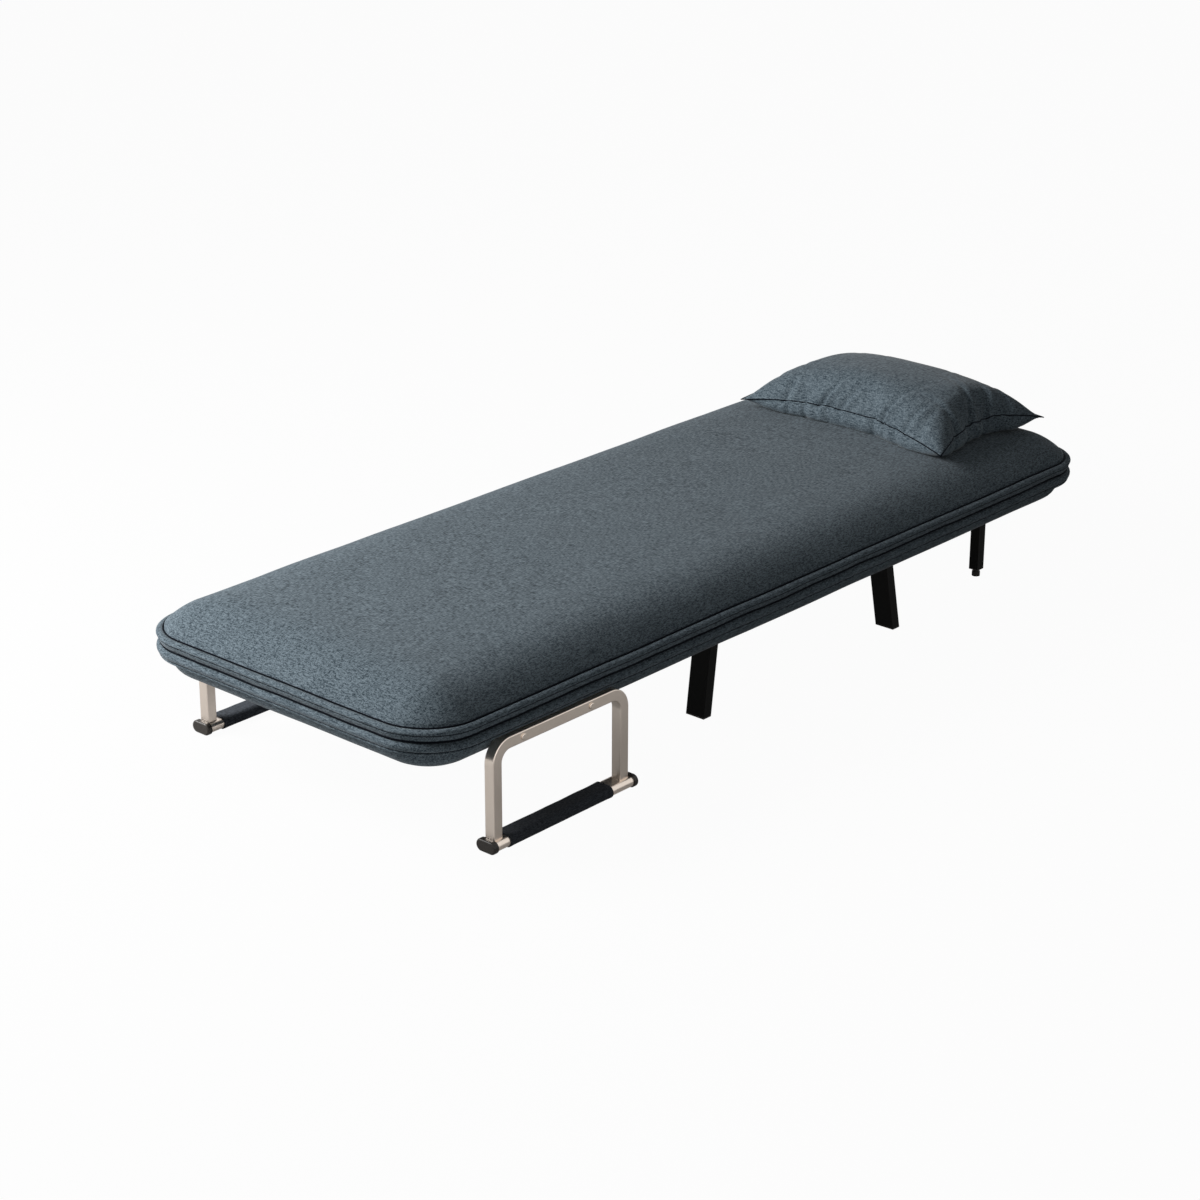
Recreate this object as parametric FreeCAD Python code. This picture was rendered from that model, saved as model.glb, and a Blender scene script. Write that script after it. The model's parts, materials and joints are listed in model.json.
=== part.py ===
import FreeCAD, Part
import math
import os

# Convertible chair bed, in millimetres. X is the width, Y runs from the foot end (-Y)
# to the head end (+Y), Z is up. The floor is Z = 0 and the origin lies on it, under the
# middle of the bed. The bed is drawn flat, as it stands when it is used as a bed.

# Mattress, measured over its side rolls
mattress_length = 1820.0
mattress_width = 700.0
mattress_corner_radius = 109.0
underside_height = 152.0
upper_roll_height = 22.5
roll_outset = 10.0
crown_rise = 50.0
crown_edge_width = 105.0
crown_bulge = 5.0
crown_power = 2.15
crown_middle_half_width = 60.0
smallest_corner_radius = 25.0
seat_face_bulge_height = 27.0
seat_face_edge_width = 180.0
seam_loop_gap = 10.5
seam_inset = 5.0
seam_shelf_inset = 9.0
seam_shelf_drop_height = 4.0
roll_groove_depth = 7.0
underside_edge_inset = 72.0
underside_side_inset = 23.0

# Joints between the three sections
flip_joint_y = -260.0
recline_joint_y = 400.0
section_gap = 0.3
nose_radius = 20.0
rest_gap = 0.3
soft_clearance = 0.3
cut_overshoot_length = 1.0

# Section frames of rectangular steel tube
frame_tube_width = 25.0
frame_tube_height = 40.0
frame_tube_wall = 1.5
frame_cover_thickness = 19.0
frame_side_setback = 42.0
frame_end_setback = 88.0
frame_joint_setback = 8.0
webbing_width = 60.0
webbing_thickness = 2.0
webbing_straps = 3
webbing_cover_gap = 0.5

# Four fixed legs under the seat section
leg_width = 40.0
leg_depth = 20.0
leg_wall = 1.5
leg_side_setback = 64.0
front_leg_foot_setback = 113.5
rear_leg_foot_overhang_length = 3.0
front_leg_lean_deg = 7.0
rear_leg_lean_deg = 12.0
glide_thickness = 3.0
plate_thickness = 4.0
plate_width = 84.0
plate_depth = 40.0
leg_bolt_spacing = 64.0
leg_bolt_radius = 4.0
leg_bolt_head_radius = 6.5
leg_bolt_head_height = 4.5
leg_bolt_grip = 13.0

# Armrest loops of square tube, which are the foot legs of the bed
loop_tube_width = 20.0
loop_tube_wall = 1.5
loop_tube_corner_radius = 2.0
loop_pad_gap = 0.5
loop_shelf_gap = 1.0
loop_end_setback = 141.5
loop_length = 319.0
armrest_bolt_rise_height = 6.5
loop_bend_radius = 30.0
armrest_bolt_front_setback = 69.5
armrest_bolt_rear_setback = 90.5
armrest_bolt_radius = 3.0
armrest_bolt_head_radius = 5.5
armrest_bolt_head_height = 2.5
armrest_bolt_head_round_radius = 1.5
armrest_nut_radius = 6.0
armrest_nut_height = 6.0
spacer_radius = 8.0

# Flat-oval armrest bars, their padded sleeves and end caps
bar_width = 38.0
bar_height = 18.0
bar_wall = 1.5
bar_front_overhang_length = 6.5
bar_rear_overhang_length = 10.5
sleeve_thickness = 1.6
sleeve_front_setback = 28.5
sleeve_rear_setback = 48.5
cap_wall = 2.0
cap_skirt_length = 6.0
cap_end_thickness = 4.0
cap_round_radius = 3.5

# Double-pivot flip hinge between the foot section and the seat section
hinge_side_setback = 118.0
hinge_slot_gap = 1.5
hinge_plate_thickness = 5.0
hinge_side_gap = 0.5
flip_pivot_depth = 14.0
flip_eye_radius = 8.0
flip_link_thickness = 4.0
flip_pin_radius = 4.0
pin_head_radius = 6.5
pin_head_height = 2.5
running_clearance = 0.05

# Ratchet hinge between the seat section and the back section
recline_pivot_depth = 12.0
recline_eye_radius = 8.5
recline_pin_radius = 5.0
recline_pin_head_radius = 7.5
ratchet_radius = 34.0
ratchet_notches = 5
ratchet_step_deg = 20.0
ratchet_first_deg = -95.0
ratchet_notch_radius = 3.0
ratchet_sector_front_length = 8.0
ratchet_sector_top_gap = 3.0
ratchet_foot_setback = 6.0
ratchet_waist_setback = 4.0
ratchet_waist_share = 0.6
pawl_pin_angle_deg = -67.0
pawl_pin_distance = 47.0
pawl_elbow_distance = 8.0
pawl_elbow_deg = 2.0
pawl_tip_gap = 0.6
pawl_arm_edge_width = 2.0
pawl_pin_radius = 3.0
pawl_pin_head_radius = 5.0
pawl_boss_radius = 5.5
pawl_half_width = 3.5
pawl_tip_radius = 2.4
pawl_lift_deg = 10.0
pawl_spring_thickness = 1.3
pawl_spring_length = 4.0

# Two folding legs under the head end, on one pivot rod
head_leg_tube_width = 20.0
head_leg_wall = 1.5
head_leg_side_setback = 91.0
head_leg_end_setback = 182.5
head_leg_pivot_drop_height = 30.0
head_leg_rod_radius = 5.0
head_leg_rod_overhang_length = 19.0
head_leg_bottom = 16.0
bracket_wall = 4.0
bracket_length = 25.0
bracket_drop_height = 11.0
plug_flange_height = 2.0
plug_depth = 16.0
levelling_pad_radius = 8.0
levelling_pad_height = 9.0
levelling_collar_radius = 6.0
levelling_stud_radius = 4.0
levelling_stud_length = 26.0

# Loose pillow, which lies on the back section
pillow_length = 494.0
pillow_depth = 325.0
pillow_height = 104.0
pillow_seam_share = 0.33
pillow_centre_x = 20.0
pillow_centre_y = 698.0
pillow_turn_deg = -2.3
pillow_side_draw = 14.0
pillow_face_swell = 13.0

# Heights and places that follow from the sizes above
half_length = mattress_length / 2
half_width = mattress_width / 2
frame_bottom_height = underside_height + frame_cover_thickness
frame_top_height = frame_bottom_height + frame_tube_height
loop_bolt_height = frame_bottom_height + armrest_bolt_rise_height
loop_top_height = loop_bolt_height + loop_tube_width / 2
seam_height = loop_top_height + seam_loop_gap
groove_height = frame_top_height + webbing_thickness + webbing_cover_gap
welt_height = groove_height + upper_roll_height
top_height = welt_height + crown_rise + crown_bulge
welt_half_width = half_width - roll_outset
frame_outer_half_width = half_width - frame_side_setback
frame_inner_half_width = frame_outer_half_width - frame_tube_width
frame_end_y = half_length - frame_end_setback
leg_centre_x = frame_outer_half_width - leg_side_setback
front_leg_foot_y = flip_joint_y + front_leg_foot_setback
rear_leg_foot_y = recline_joint_y + rear_leg_foot_overhang_length
head_leg_centre_x = frame_outer_half_width - head_leg_side_setback
head_leg_rod_end_x = head_leg_centre_x + head_leg_rod_overhang_length
head_leg_y = half_length - head_leg_end_setback
head_leg_pivot_height = frame_bottom_height - head_leg_pivot_drop_height
hinge_plane_x = frame_outer_half_width - hinge_side_setback
flip_pivot_height = top_height - flip_pivot_depth
flip_half_link = flip_pivot_depth + rest_gap / 2
recline_pivot_height = top_height - recline_pivot_depth
arm_outer_x = hinge_plane_x + hinge_plate_thickness
link_inner_x = arm_outer_x + hinge_side_gap
link_outer_x = link_inner_x + flip_link_thickness
recline_arm_outer_x = link_inner_x + hinge_plate_thickness
bar_centre_height = bar_height / 2 + cap_wall
flip_slot_depth = frame_joint_setback + frame_tube_width + cut_overshoot_length
recline_slot_depth = ratchet_radius + pin_head_height + hinge_slot_gap
loop_inner_x = half_width - underside_side_inset + loop_pad_gap
loop_outer_x = loop_inner_x + loop_tube_width
loop_centre_x = loop_inner_x + loop_tube_width / 2
loop_front_y = loop_end_setback - half_length
loop_rear_y = loop_front_y + loop_length
bolt_ys = (loop_front_y + armrest_bolt_front_setback, loop_rear_y - armrest_bolt_rear_setback)
bar_front_y = loop_front_y - bar_front_overhang_length
bar_rear_y = loop_rear_y + bar_rear_overhang_length
sleeve_front_y = loop_front_y + sleeve_front_setback
sleeve_rear_y = loop_rear_y - sleeve_rear_setback


def vec(x, y, z):
    return FreeCAD.Vector(x, y, z)


def block(x0, x1, y0, y1, z0, z1):
    """A box between two corners, in any order along each axis."""
    corner = vec(min(x0, x1), min(y0, y1), min(z0, z1))
    return Part.makeBox(abs(x1 - x0), abs(y1 - y0), abs(z1 - z0), corner)


def rod_x(radius, x0, x1, y, z):
    """A round rod along X."""
    return Part.makeCylinder(radius, abs(x1 - x0), vec(min(x0, x1), y, z), vec(1, 0, 0))


def rod_z(radius, x, y, z0, z1):
    """A round rod along Z."""
    return Part.makeCylinder(radius, z1 - z0, vec(x, y, z0), vec(0, 0, 1))


def plate_yz(points, x0, x1):
    """A flat plate across X, from its outline of (y, z) points."""
    corners = [vec(x0, y, z) for y, z in points]
    outline = Part.makePolygon(corners + [corners[0]])
    return Part.Face(outline).extrude(vec(x1 - x0, 0, 0))


def mirrored(shape):
    """The same piece on the other side of the bed."""
    return shape.mirror(vec(0, 0, 0), vec(1, 0, 0))


def both_sides(shape):
    return [shape, mirrored(shape)]


def joined(shapes):
    """One solid from pieces that meet or overlap."""
    result = shapes[0]
    for shape in shapes[1:]:
        result = result.fuse(shape)
    return result.removeSplitter()


def without(shape, tools):
    """A shape with every tool cut out of it."""
    return shape.cut(Part.makeCompound(tools))


def save(name, shapes):
    """Write one node; a list makes a group of separate solids."""
    if not isinstance(shapes, list):
        shapes = [shapes]
    solids = [solid for shape in shapes for solid in shape.Solids]
    node = solids[0] if len(solids) == 1 else Part.makeCompound(solids)
    node.exportStep("parts/" + name + ".step")
    volume = sum(solid.Volume for solid in solids)
    valid = all(solid.isValid() for solid in solids)
    print(name, len(solids), "solids", round(volume / 1000), "cm3", "valid" if valid else "INVALID")


# Mattress pads

def rounded_outline(half_x, half_y, radius, z):
    """A rectangle with round corners, as four lines and four quarter arcs."""
    edges = []
    quarter = math.pi / 2
    centres = ((1, 1), (-1, 1), (-1, -1), (1, -1))
    for turn, (sx, sy) in enumerate(centres):
        cx = sx * (half_x - radius)
        cy = sy * (half_y - radius)
        points = []
        for step in (0, 0.5, 1):
            angle = (turn + step) * quarter
            points.append(vec(cx + radius * math.cos(angle), cy + radius * math.sin(angle), z))
        edges.append(Part.Arc(points[0], points[1], points[2]).toShape())
    whole = []
    for index, edge in enumerate(edges):
        after = edges[(index + 1) % 4]
        whole.append(edge)
        start = edge.Vertexes[-1].Point
        end = after.Vertexes[0].Point
        whole.append(Part.LineSegment(start, end).toShape())
    return Part.Wire(whole)


def mattress_outline(inset, z):
    """The mattress outline, drawn in evenly from the outside of its rolls."""
    radius = max(mattress_corner_radius - inset, smallest_corner_radius)
    return rounded_outline(half_width - inset, half_length - inset, radius, z)


def mattress_loft(levels):
    """A closed form through outlines, given as (inset, height) from the bottom up."""
    return Part.makeLoft([mattress_outline(inset, z) for inset, z in levels], True, True)


def crown_height(distance):
    """Height of the top face at a distance inside the welt."""
    share = min(distance / crown_edge_width, 1.0)
    edge = crown_rise * (1 - (1 - share) ** crown_power)
    across = max(welt_half_width - distance, 0) / welt_half_width
    return welt_height + edge + crown_bulge * (1 - across ** 2)


def roll_levels(low, high, low_inset, high_inset):
    """One side roll, as a half-round bead that swells out to the full outline."""
    middle = (low + high) / 2
    half = (high - low) / 2
    levels = []
    for angle_deg in (-90, -60, -30, 0, 30, 60, 90):
        angle = math.radians(angle_deg)
        tuck = low_inset if angle_deg < 0 else high_inset
        levels.append((tuck * (1 - math.cos(angle)), middle + half * math.sin(angle)))
    return levels


def upper_pad_form():
    """The topper over its whole length: side roll, welt line and crowned top."""
    bottom = groove_height + soft_clearance / 2
    levels = roll_levels(bottom, welt_height, roll_groove_depth, roll_outset)
    flat_width = welt_half_width - crown_edge_width - crown_middle_half_width
    edge = [crown_edge_width * share for share in (0.03, 0.08, 0.15, 0.24, 0.35, 0.48, 0.64, 0.82, 1)]
    middle = [crown_edge_width + flat_width * share for share in (0.25, 0.6, 1)]
    for distance in edge + middle:
        levels.append((roll_outset + distance, crown_height(distance)))
    return mattress_loft(levels)


def underside_levels():
    """The lower bulge under the thin seam, from the flat underside up to that seam."""
    shelf_height = loop_top_height + loop_shelf_gap
    rise = shelf_height - underside_height
    reach = underside_edge_inset - underside_side_inset
    levels = []
    for angle_deg in (0, 18, 34, 48, 62, 76, 90):
        angle = math.radians(angle_deg)
        inset = underside_edge_inset - reach * math.sin(angle)
        levels.append((inset, underside_height + rise * (1 - math.cos(angle))))
    levels.append((seam_shelf_inset, seam_height - seam_shelf_drop_height))
    levels.append((seam_inset, seam_height))
    return levels


def lower_pad_form(crowned):
    """The base cushion over its whole length, with a crowned or a flat underside."""
    under = underside_levels()
    if crowned:
        start_inset = under[0][0]
        for share in (0.25, 0.5, 0.75, 1.0):
            drop = seat_face_bulge_height * (1 - (1 - share) ** 2)
            inset = start_inset + seat_face_edge_width * share
            under.insert(0, (inset, underside_height - drop))
    top = groove_height - soft_clearance / 2
    roll = roll_levels(seam_height, top, seam_inset, roll_groove_depth)
    return mattress_loft(under + roll[1:])


def section_slice(shape, y0, y1):
    """The length of a mattress form that belongs to one section."""
    reach = mattress_width
    return shape.common(block(-reach, reach, y0, y1, 0, 2 * top_height))


def nose_cutter(joint_y, side):
    """The waste outside a rounded top edge at a joint. side is +1 or -1 along Y."""
    face_y = joint_y + side * section_gap / 2
    centre_y = face_y + side * nose_radius
    centre_z = top_height - nose_radius
    reach = mattress_width
    outer_y = face_y - side * cut_overshoot_length
    top = top_height + cut_overshoot_length
    corner = block(-reach, reach, outer_y, centre_y, centre_z, top)
    return corner.cut(rod_x(nose_radius, -reach, reach, centre_y, centre_z))


def hinge_slots(joint_y, side, depth, outer_x):
    """Slots in the foam round the hinge plates, open at the joint and on top."""
    inner = hinge_plane_x - pin_head_height - hinge_slot_gap
    outer = outer_x + pin_head_height + hinge_slot_gap
    far_y = joint_y + side * depth
    bottom = frame_top_height - soft_clearance
    near_y = joint_y - side * cut_overshoot_length
    slot = block(inner, outer, near_y, far_y, bottom, top_height + cut_overshoot_length)
    return both_sides(slot)


def flip_slots(side):
    return hinge_slots(flip_joint_y, side, flip_slot_depth, link_outer_x)


def recline_slots(side):
    outer_x = recline_arm_outer_x + pawl_spring_length
    return hinge_slots(recline_joint_y, side, recline_slot_depth, outer_x)


def cross_tube_ys(section):
    """Lowest Y of each cross tube of a section's frame."""
    if section == "seat":
        first = flip_joint_y + frame_joint_setback
        last = recline_joint_y - frame_joint_setback - frame_tube_width
        return [first, leg_top_y(front_leg_foot_y, front_leg_lean_deg) - frame_tube_width / 2, last]
    if section == "foot":
        return [-frame_end_y, flip_joint_y - frame_joint_setback - frame_tube_width]
    first = recline_joint_y + frame_joint_setback
    return [first, head_leg_y - frame_tube_width / 2, frame_end_y - frame_tube_width]


def leg_top_y(foot_y, lean_deg):
    """Middle of a leaning leg at the height of its mounting plate."""
    height = frame_bottom_height - plate_thickness
    return foot_y + height * math.tan(math.radians(lean_deg))


def strap_ys(section):
    """Middle of each webbing strap of a section, evenly between the outer cross tubes."""
    ys = cross_tube_ys(section)
    start = ys[0] + frame_tube_width
    step = (ys[-1] - start) / webbing_straps
    return [start + step * (index + 0.5) for index in range(webbing_straps)]


def frame_recess(section):
    """The space in the base cushion for the steel frame and its webbing."""
    gap = soft_clearance
    low = frame_bottom_height - gap
    ys = cross_tube_ys(section)
    inner = frame_inner_half_width
    outer = frame_outer_half_width
    tools = both_sides(block(inner - gap, outer + gap, ys[0] - gap,
                             ys[-1] + frame_tube_width + gap, low, groove_height))
    for y in ys:
        tools.append(block(-inner, inner, y - gap, y + frame_tube_width + gap, low, groove_height))
    for y in strap_ys(section):
        half = webbing_width / 2 + gap
        tools.append(block(-outer - gap, outer + gap, y - half, y + half,
                           frame_top_height - gap, groove_height))
    return tools


def seat_pads():
    y0 = flip_joint_y + section_gap / 2
    y1 = recline_joint_y - section_gap / 2
    upper = section_slice(upper_pad_form(), y0, y1)
    slots = flip_slots(1) + recline_slots(-1)
    noses = [nose_cutter(flip_joint_y, 1), nose_cutter(recline_joint_y, -1)]
    save("seat_upper_pad", without(upper, slots + noses))
    lower = section_slice(lower_pad_form(False), y0, y1)
    save("seat_lower_pad", without(lower, frame_recess("seat") + slots + leg_recesses()))


def foot_pads():
    y1 = flip_joint_y - section_gap / 2
    upper = section_slice(upper_pad_form(), -mattress_length, y1)
    slots = flip_slots(-1)
    save("foot_upper_pad", without(upper, slots + [nose_cutter(flip_joint_y, -1)]))
    lower = section_slice(lower_pad_form(True), -mattress_length, y1)
    save("foot_lower_pad", without(lower, frame_recess("foot") + slots + armrest_recesses()))


def back_pads():
    y0 = recline_joint_y + section_gap / 2
    upper = section_slice(upper_pad_form(), y0, mattress_length)
    slots = recline_slots(1)
    save("back_upper_pad", without(upper, slots + [nose_cutter(recline_joint_y, 1)]))
    lower = section_slice(lower_pad_form(False), y0, mattress_length)
    save("back_lower_pad", without(lower, frame_recess("back") + slots + bracket_recesses()))


# Section frames

def tube_along_y(x0, y0, y1):
    wall = frame_tube_wall
    x1 = x0 + frame_tube_width
    outer = block(x0, x1, y0, y1, frame_bottom_height, frame_top_height)
    inner = block(x0 + wall, x1 - wall, y0, y1, frame_bottom_height + wall, frame_top_height - wall)
    return outer.cut(inner)


def tube_along_x(half, y0):
    wall = frame_tube_wall
    y1 = y0 + frame_tube_width
    outer = block(-half, half, y0, y1, frame_bottom_height, frame_top_height)
    inner = block(-half, half, y0 + wall, y1 - wall, frame_bottom_height + wall,
                  frame_top_height - wall)
    return outer.cut(inner)


def section_frame(section, rail_holes, cross_holes):
    """Two side rails, their cross tubes and the webbing of one section."""
    ys = cross_tube_ys(section)
    rail = tube_along_y(frame_inner_half_width, ys[0], ys[-1] + frame_tube_width)
    if rail_holes:
        rail = without(rail, rail_holes)
    save(section + "_rail_right", rail)
    save(section + "_rail_left", mirrored(rail))
    tubes = [tube_along_x(frame_inner_half_width, y) for y in ys]
    if cross_holes:
        tubes = [without(tube, cross_holes) for tube in tubes]
    save(section + "_cross_tubes", tubes)
    straps = []
    for y in strap_ys(section):
        half = webbing_width / 2
        straps.append(block(-frame_outer_half_width, frame_outer_half_width, y - half, y + half,
                            frame_top_height, frame_top_height + webbing_thickness))
    save(section + "_webbing", straps)


def seat_frame():
    section_frame("seat", [], [leg_bolt_hole(x, y) for x, y in leg_bolt_places()])


def foot_frame():
    radius = armrest_bolt_radius + running_clearance
    holes = [rod_x(radius, 0, mattress_width, y, loop_bolt_height) for y in bolt_ys]
    section_frame("foot", holes, [])


def back_frame():
    section_frame("back", [], [])


# Fixed legs

def leaning_prism(half_x, half_y, foot_y, lean_deg, z0, z1):
    """An upright prism that leans along Y, about the right-hand leg's middle."""
    slope = math.tan(math.radians(lean_deg))
    low = foot_y + slope * z0
    high = foot_y + slope * z1
    points = [(low - half_y, z0), (low + half_y, z0), (high + half_y, z1), (high - half_y, z1)]
    return plate_yz(points, leg_centre_x - half_x, leg_centre_x + half_x)


def leg_tube(foot_y, lean_deg):
    top = frame_bottom_height - plate_thickness
    outer = leaning_prism(leg_width / 2, leg_depth / 2, foot_y, lean_deg, glide_thickness, top)
    inner = leaning_prism(leg_width / 2 - leg_wall, leg_depth / 2 - leg_wall, foot_y, lean_deg,
                          glide_thickness, top)
    return outer.cut(inner)


def plate_ys():
    """Lowest and highest Y of the front and the rear mounting plate."""
    front = leg_top_y(front_leg_foot_y, front_leg_lean_deg)
    rear_edge = cross_tube_ys("seat")[-1] + frame_tube_width
    return [(front - plate_depth / 2, front + plate_depth / 2), (rear_edge - plate_depth, rear_edge)]


def leg_bolt_places():
    places = []
    tubes = cross_tube_ys("seat")
    for y in (tubes[1], tubes[2]):
        for side in (-1, 1):
            x = leg_centre_x + side * leg_bolt_spacing / 2
            places.append((x, y + frame_tube_width / 2))
            places.append((-x, y + frame_tube_width / 2))
    return places


def leg_bolt_hole(x, y):
    low = frame_bottom_height - plate_thickness - cut_overshoot_length
    high = frame_bottom_height + frame_tube_wall + cut_overshoot_length
    return rod_z(leg_bolt_radius + running_clearance, x, y, low, high)


def leg_recesses():
    """Room in the base cushion for the mounting plates, bolt heads and leg tops."""
    gap = soft_clearance
    tools = []
    low = frame_bottom_height - plate_thickness - leg_bolt_head_height - gap
    for y0, y1 in plate_ys():
        half = plate_width / 2 + gap
        tools += both_sides(block(leg_centre_x - half, leg_centre_x + half, y0 - gap, y1 + gap,
                                  low, frame_bottom_height))
    leans = ((front_leg_foot_y, front_leg_lean_deg), (rear_leg_foot_y, -rear_leg_lean_deg))
    for foot_y, lean_deg in leans:
        tools += both_sides(leaning_prism(leg_width / 2 + gap, leg_depth / 2 + gap, foot_y, lean_deg,
                                          underside_height - cut_overshoot_length, frame_bottom_height))
    return tools


def fixed_legs():
    front = leg_tube(front_leg_foot_y, front_leg_lean_deg)
    rear = leg_tube(rear_leg_foot_y, -rear_leg_lean_deg)
    save("front_leg_right", front)
    save("front_leg_left", mirrored(front))
    save("rear_leg_right", rear)
    save("rear_leg_left", mirrored(rear))
    holes = [leg_bolt_hole(x, y) for x, y in leg_bolt_places()]
    plates = []
    for y0, y1 in plate_ys():
        half = plate_width / 2
        plate = block(leg_centre_x - half, leg_centre_x + half, y0, y1,
                      frame_bottom_height - plate_thickness, frame_bottom_height)
        plates += [without(side, holes) for side in both_sides(plate)]
    save("leg_mounting_plates", plates)
    head_top = frame_bottom_height - plate_thickness
    bolts = []
    for x, y in leg_bolt_places():
        shank = rod_z(leg_bolt_radius, x, y, head_top, head_top + leg_bolt_grip)
        head = rod_z(leg_bolt_head_radius, x, y, head_top - leg_bolt_head_height, head_top)
        bolts.append(joined([shank, head]))
    save("leg_bolts", bolts)
    glides = []
    leans = ((front_leg_foot_y, front_leg_lean_deg), (rear_leg_foot_y, -rear_leg_lean_deg))
    for foot_y, lean_deg in leans:
        glides += both_sides(leaning_prism(leg_width / 2, leg_depth / 2, foot_y, lean_deg,
                                           0, glide_thickness))
    save("leg_glides", glides)


# Armrest loops

def square_outline(x, y, size, corner, z):
    outline = rounded_outline(size / 2, size / 2, corner, z)
    outline.translate(vec(x, y, 0))
    return Part.Face(outline)


def loop_form(size, corner):
    """A bent square bar: up at the front, over, and down at the rear."""
    front = loop_front_y + loop_tube_width / 2
    rear = loop_rear_y - loop_tube_width / 2
    middle = (front + rear) / 2
    foot = bar_centre_height + bar_height / 2
    bend_height = loop_bolt_height - loop_bend_radius
    profile = square_outline(loop_centre_x, front, size, corner, foot)
    upright = profile.extrude(vec(0, 0, bend_height - foot))
    profile = square_outline(loop_centre_x, front, size, corner, bend_height)
    centre = vec(loop_centre_x, front + loop_bend_radius, bend_height)
    bend = profile.revolve(centre, vec(-1, 0, 0), 90)
    profile.rotate(centre, vec(-1, 0, 0), 90)
    over = profile.extrude(vec(0, middle - front - loop_bend_radius, 0))
    half = joined([upright, bend, over])
    return joined([half, half.mirror(vec(0, middle, 0), vec(0, 1, 0))])


def armrest_loop():
    outer = loop_form(loop_tube_width, loop_tube_corner_radius)
    inner = loop_form(loop_tube_width - 2 * loop_tube_wall, loop_tube_corner_radius - loop_tube_wall)
    radius = armrest_bolt_radius + running_clearance
    holes = [rod_x(radius, 0, mattress_width, y, loop_bolt_height) for y in bolt_ys]
    return without(outer.cut(inner), holes)


def oval_bar(width, height, y0, y1):
    """A flat-oval bar along Y, under the right-hand armrest loop."""
    radius = height / 2
    flat = width / 2 - radius
    x0 = loop_centre_x - flat
    x1 = loop_centre_x + flat
    z = bar_centre_height
    edges = [
        Part.LineSegment(vec(x0, y0, z - radius), vec(x1, y0, z - radius)).toShape(),
        Part.Arc(vec(x1, y0, z - radius), vec(x1 + radius, y0, z), vec(x1, y0, z + radius)).toShape(),
        Part.LineSegment(vec(x1, y0, z + radius), vec(x0, y0, z + radius)).toShape(),
        Part.Arc(vec(x0, y0, z + radius), vec(x0 - radius, y0, z), vec(x0, y0, z - radius)).toShape(),
    ]
    return Part.Face(Part.Wire(edges)).extrude(vec(0, y1 - y0, 0))


def end_cap(end_y, outward):
    """A plastic cap pushed over a bar's end, with a rounded outer rim."""
    skirt_y = end_y - outward * cap_skirt_length
    face_y = end_y + outward * cap_end_thickness
    width = bar_width + 2 * cap_wall
    height = bar_height + 2 * cap_wall
    body = oval_bar(width, height, skirt_y, face_y)
    rim = [edge for edge in body.Edges if abs(edge.CenterOfMass.y - face_y) < 0.01]
    body = body.makeFillet(cap_round_radius, rim)
    gap = running_clearance
    pocket = oval_bar(bar_width + 2 * gap, bar_height + 2 * gap, skirt_y, end_y)
    return without(body, [pocket, loop_foot_notch()])


def loop_foot_notch():
    """Room in a cap's skirt for the loop's tube, which stands on the bar."""
    gap = soft_clearance
    return block(loop_inner_x - gap, loop_outer_x + gap, loop_front_y - gap, loop_rear_y + gap,
                 bar_centre_height, loop_top_height)


def armrest_bolt(y):
    shank = rod_x(armrest_bolt_radius, frame_inner_half_width - armrest_nut_height, loop_outer_x,
                  y, loop_bolt_height)
    head = rod_x(armrest_bolt_head_radius, loop_outer_x, loop_outer_x + armrest_bolt_head_height,
                 y, loop_bolt_height)
    crown_x = loop_outer_x + armrest_bolt_head_height
    rim = [edge for edge in head.Edges if abs(edge.CenterOfMass.x - crown_x) < 0.01]
    return joined([shank, head.makeFillet(armrest_bolt_head_round_radius, rim)])


def bolt_ring(radius, x0, x1, y):
    """A nut or spacer round an armrest bolt."""
    hole = rod_x(armrest_bolt_radius + running_clearance, x0, x1, y, loop_bolt_height)
    return rod_x(radius, x0, x1, y, loop_bolt_height).cut(hole)


def armrest_recesses():
    """Holes in the foot cushion for the spacers and the lock nuts."""
    gap = soft_clearance
    tools = []
    for y in bolt_ys:
        tools += both_sides(rod_x(spacer_radius + gap, frame_outer_half_width, loop_outer_x,
                                  y, loop_bolt_height))
        nut_x = frame_inner_half_width - armrest_nut_height - gap
        tools += both_sides(rod_x(armrest_nut_radius + gap, nut_x, frame_inner_half_width,
                                  y, loop_bolt_height))
    return tools


def armrests():
    loop = armrest_loop()
    save("armrest_loop_right", loop)
    save("armrest_loop_left", mirrored(loop))
    wall = bar_wall
    bar = oval_bar(bar_width, bar_height, bar_front_y, bar_rear_y)
    bar = bar.cut(oval_bar(bar_width - 2 * wall, bar_height - 2 * wall, bar_front_y, bar_rear_y))
    save("armrest_bar_right", bar)
    save("armrest_bar_left", mirrored(bar))
    gap = running_clearance
    thick = 2 * sleeve_thickness
    sleeve = oval_bar(bar_width + thick, bar_height + thick, sleeve_front_y, sleeve_rear_y)
    bore = oval_bar(bar_width + 2 * gap, bar_height + 2 * gap, sleeve_front_y, sleeve_rear_y)
    sleeve = sleeve.cut(bore)
    save("armrest_sleeve_right", sleeve)
    save("armrest_sleeve_left", mirrored(sleeve))
    caps = both_sides(end_cap(bar_front_y, -1)) + both_sides(end_cap(bar_rear_y, 1))
    save("armrest_end_caps", caps)
    bolts = []
    spacers = []
    nuts = []
    nut_x = frame_inner_half_width - armrest_nut_height
    for y in bolt_ys:
        bolts += both_sides(armrest_bolt(y))
        spacers += both_sides(bolt_ring(spacer_radius, frame_outer_half_width, loop_inner_x, y))
        nuts += both_sides(bolt_ring(armrest_nut_radius, nut_x, frame_inner_half_width, y))
    save("armrest_bolts", bolts)
    save("armrest_spacers", spacers)
    save("armrest_nuts", nuts)


# Flip hinge

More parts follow.
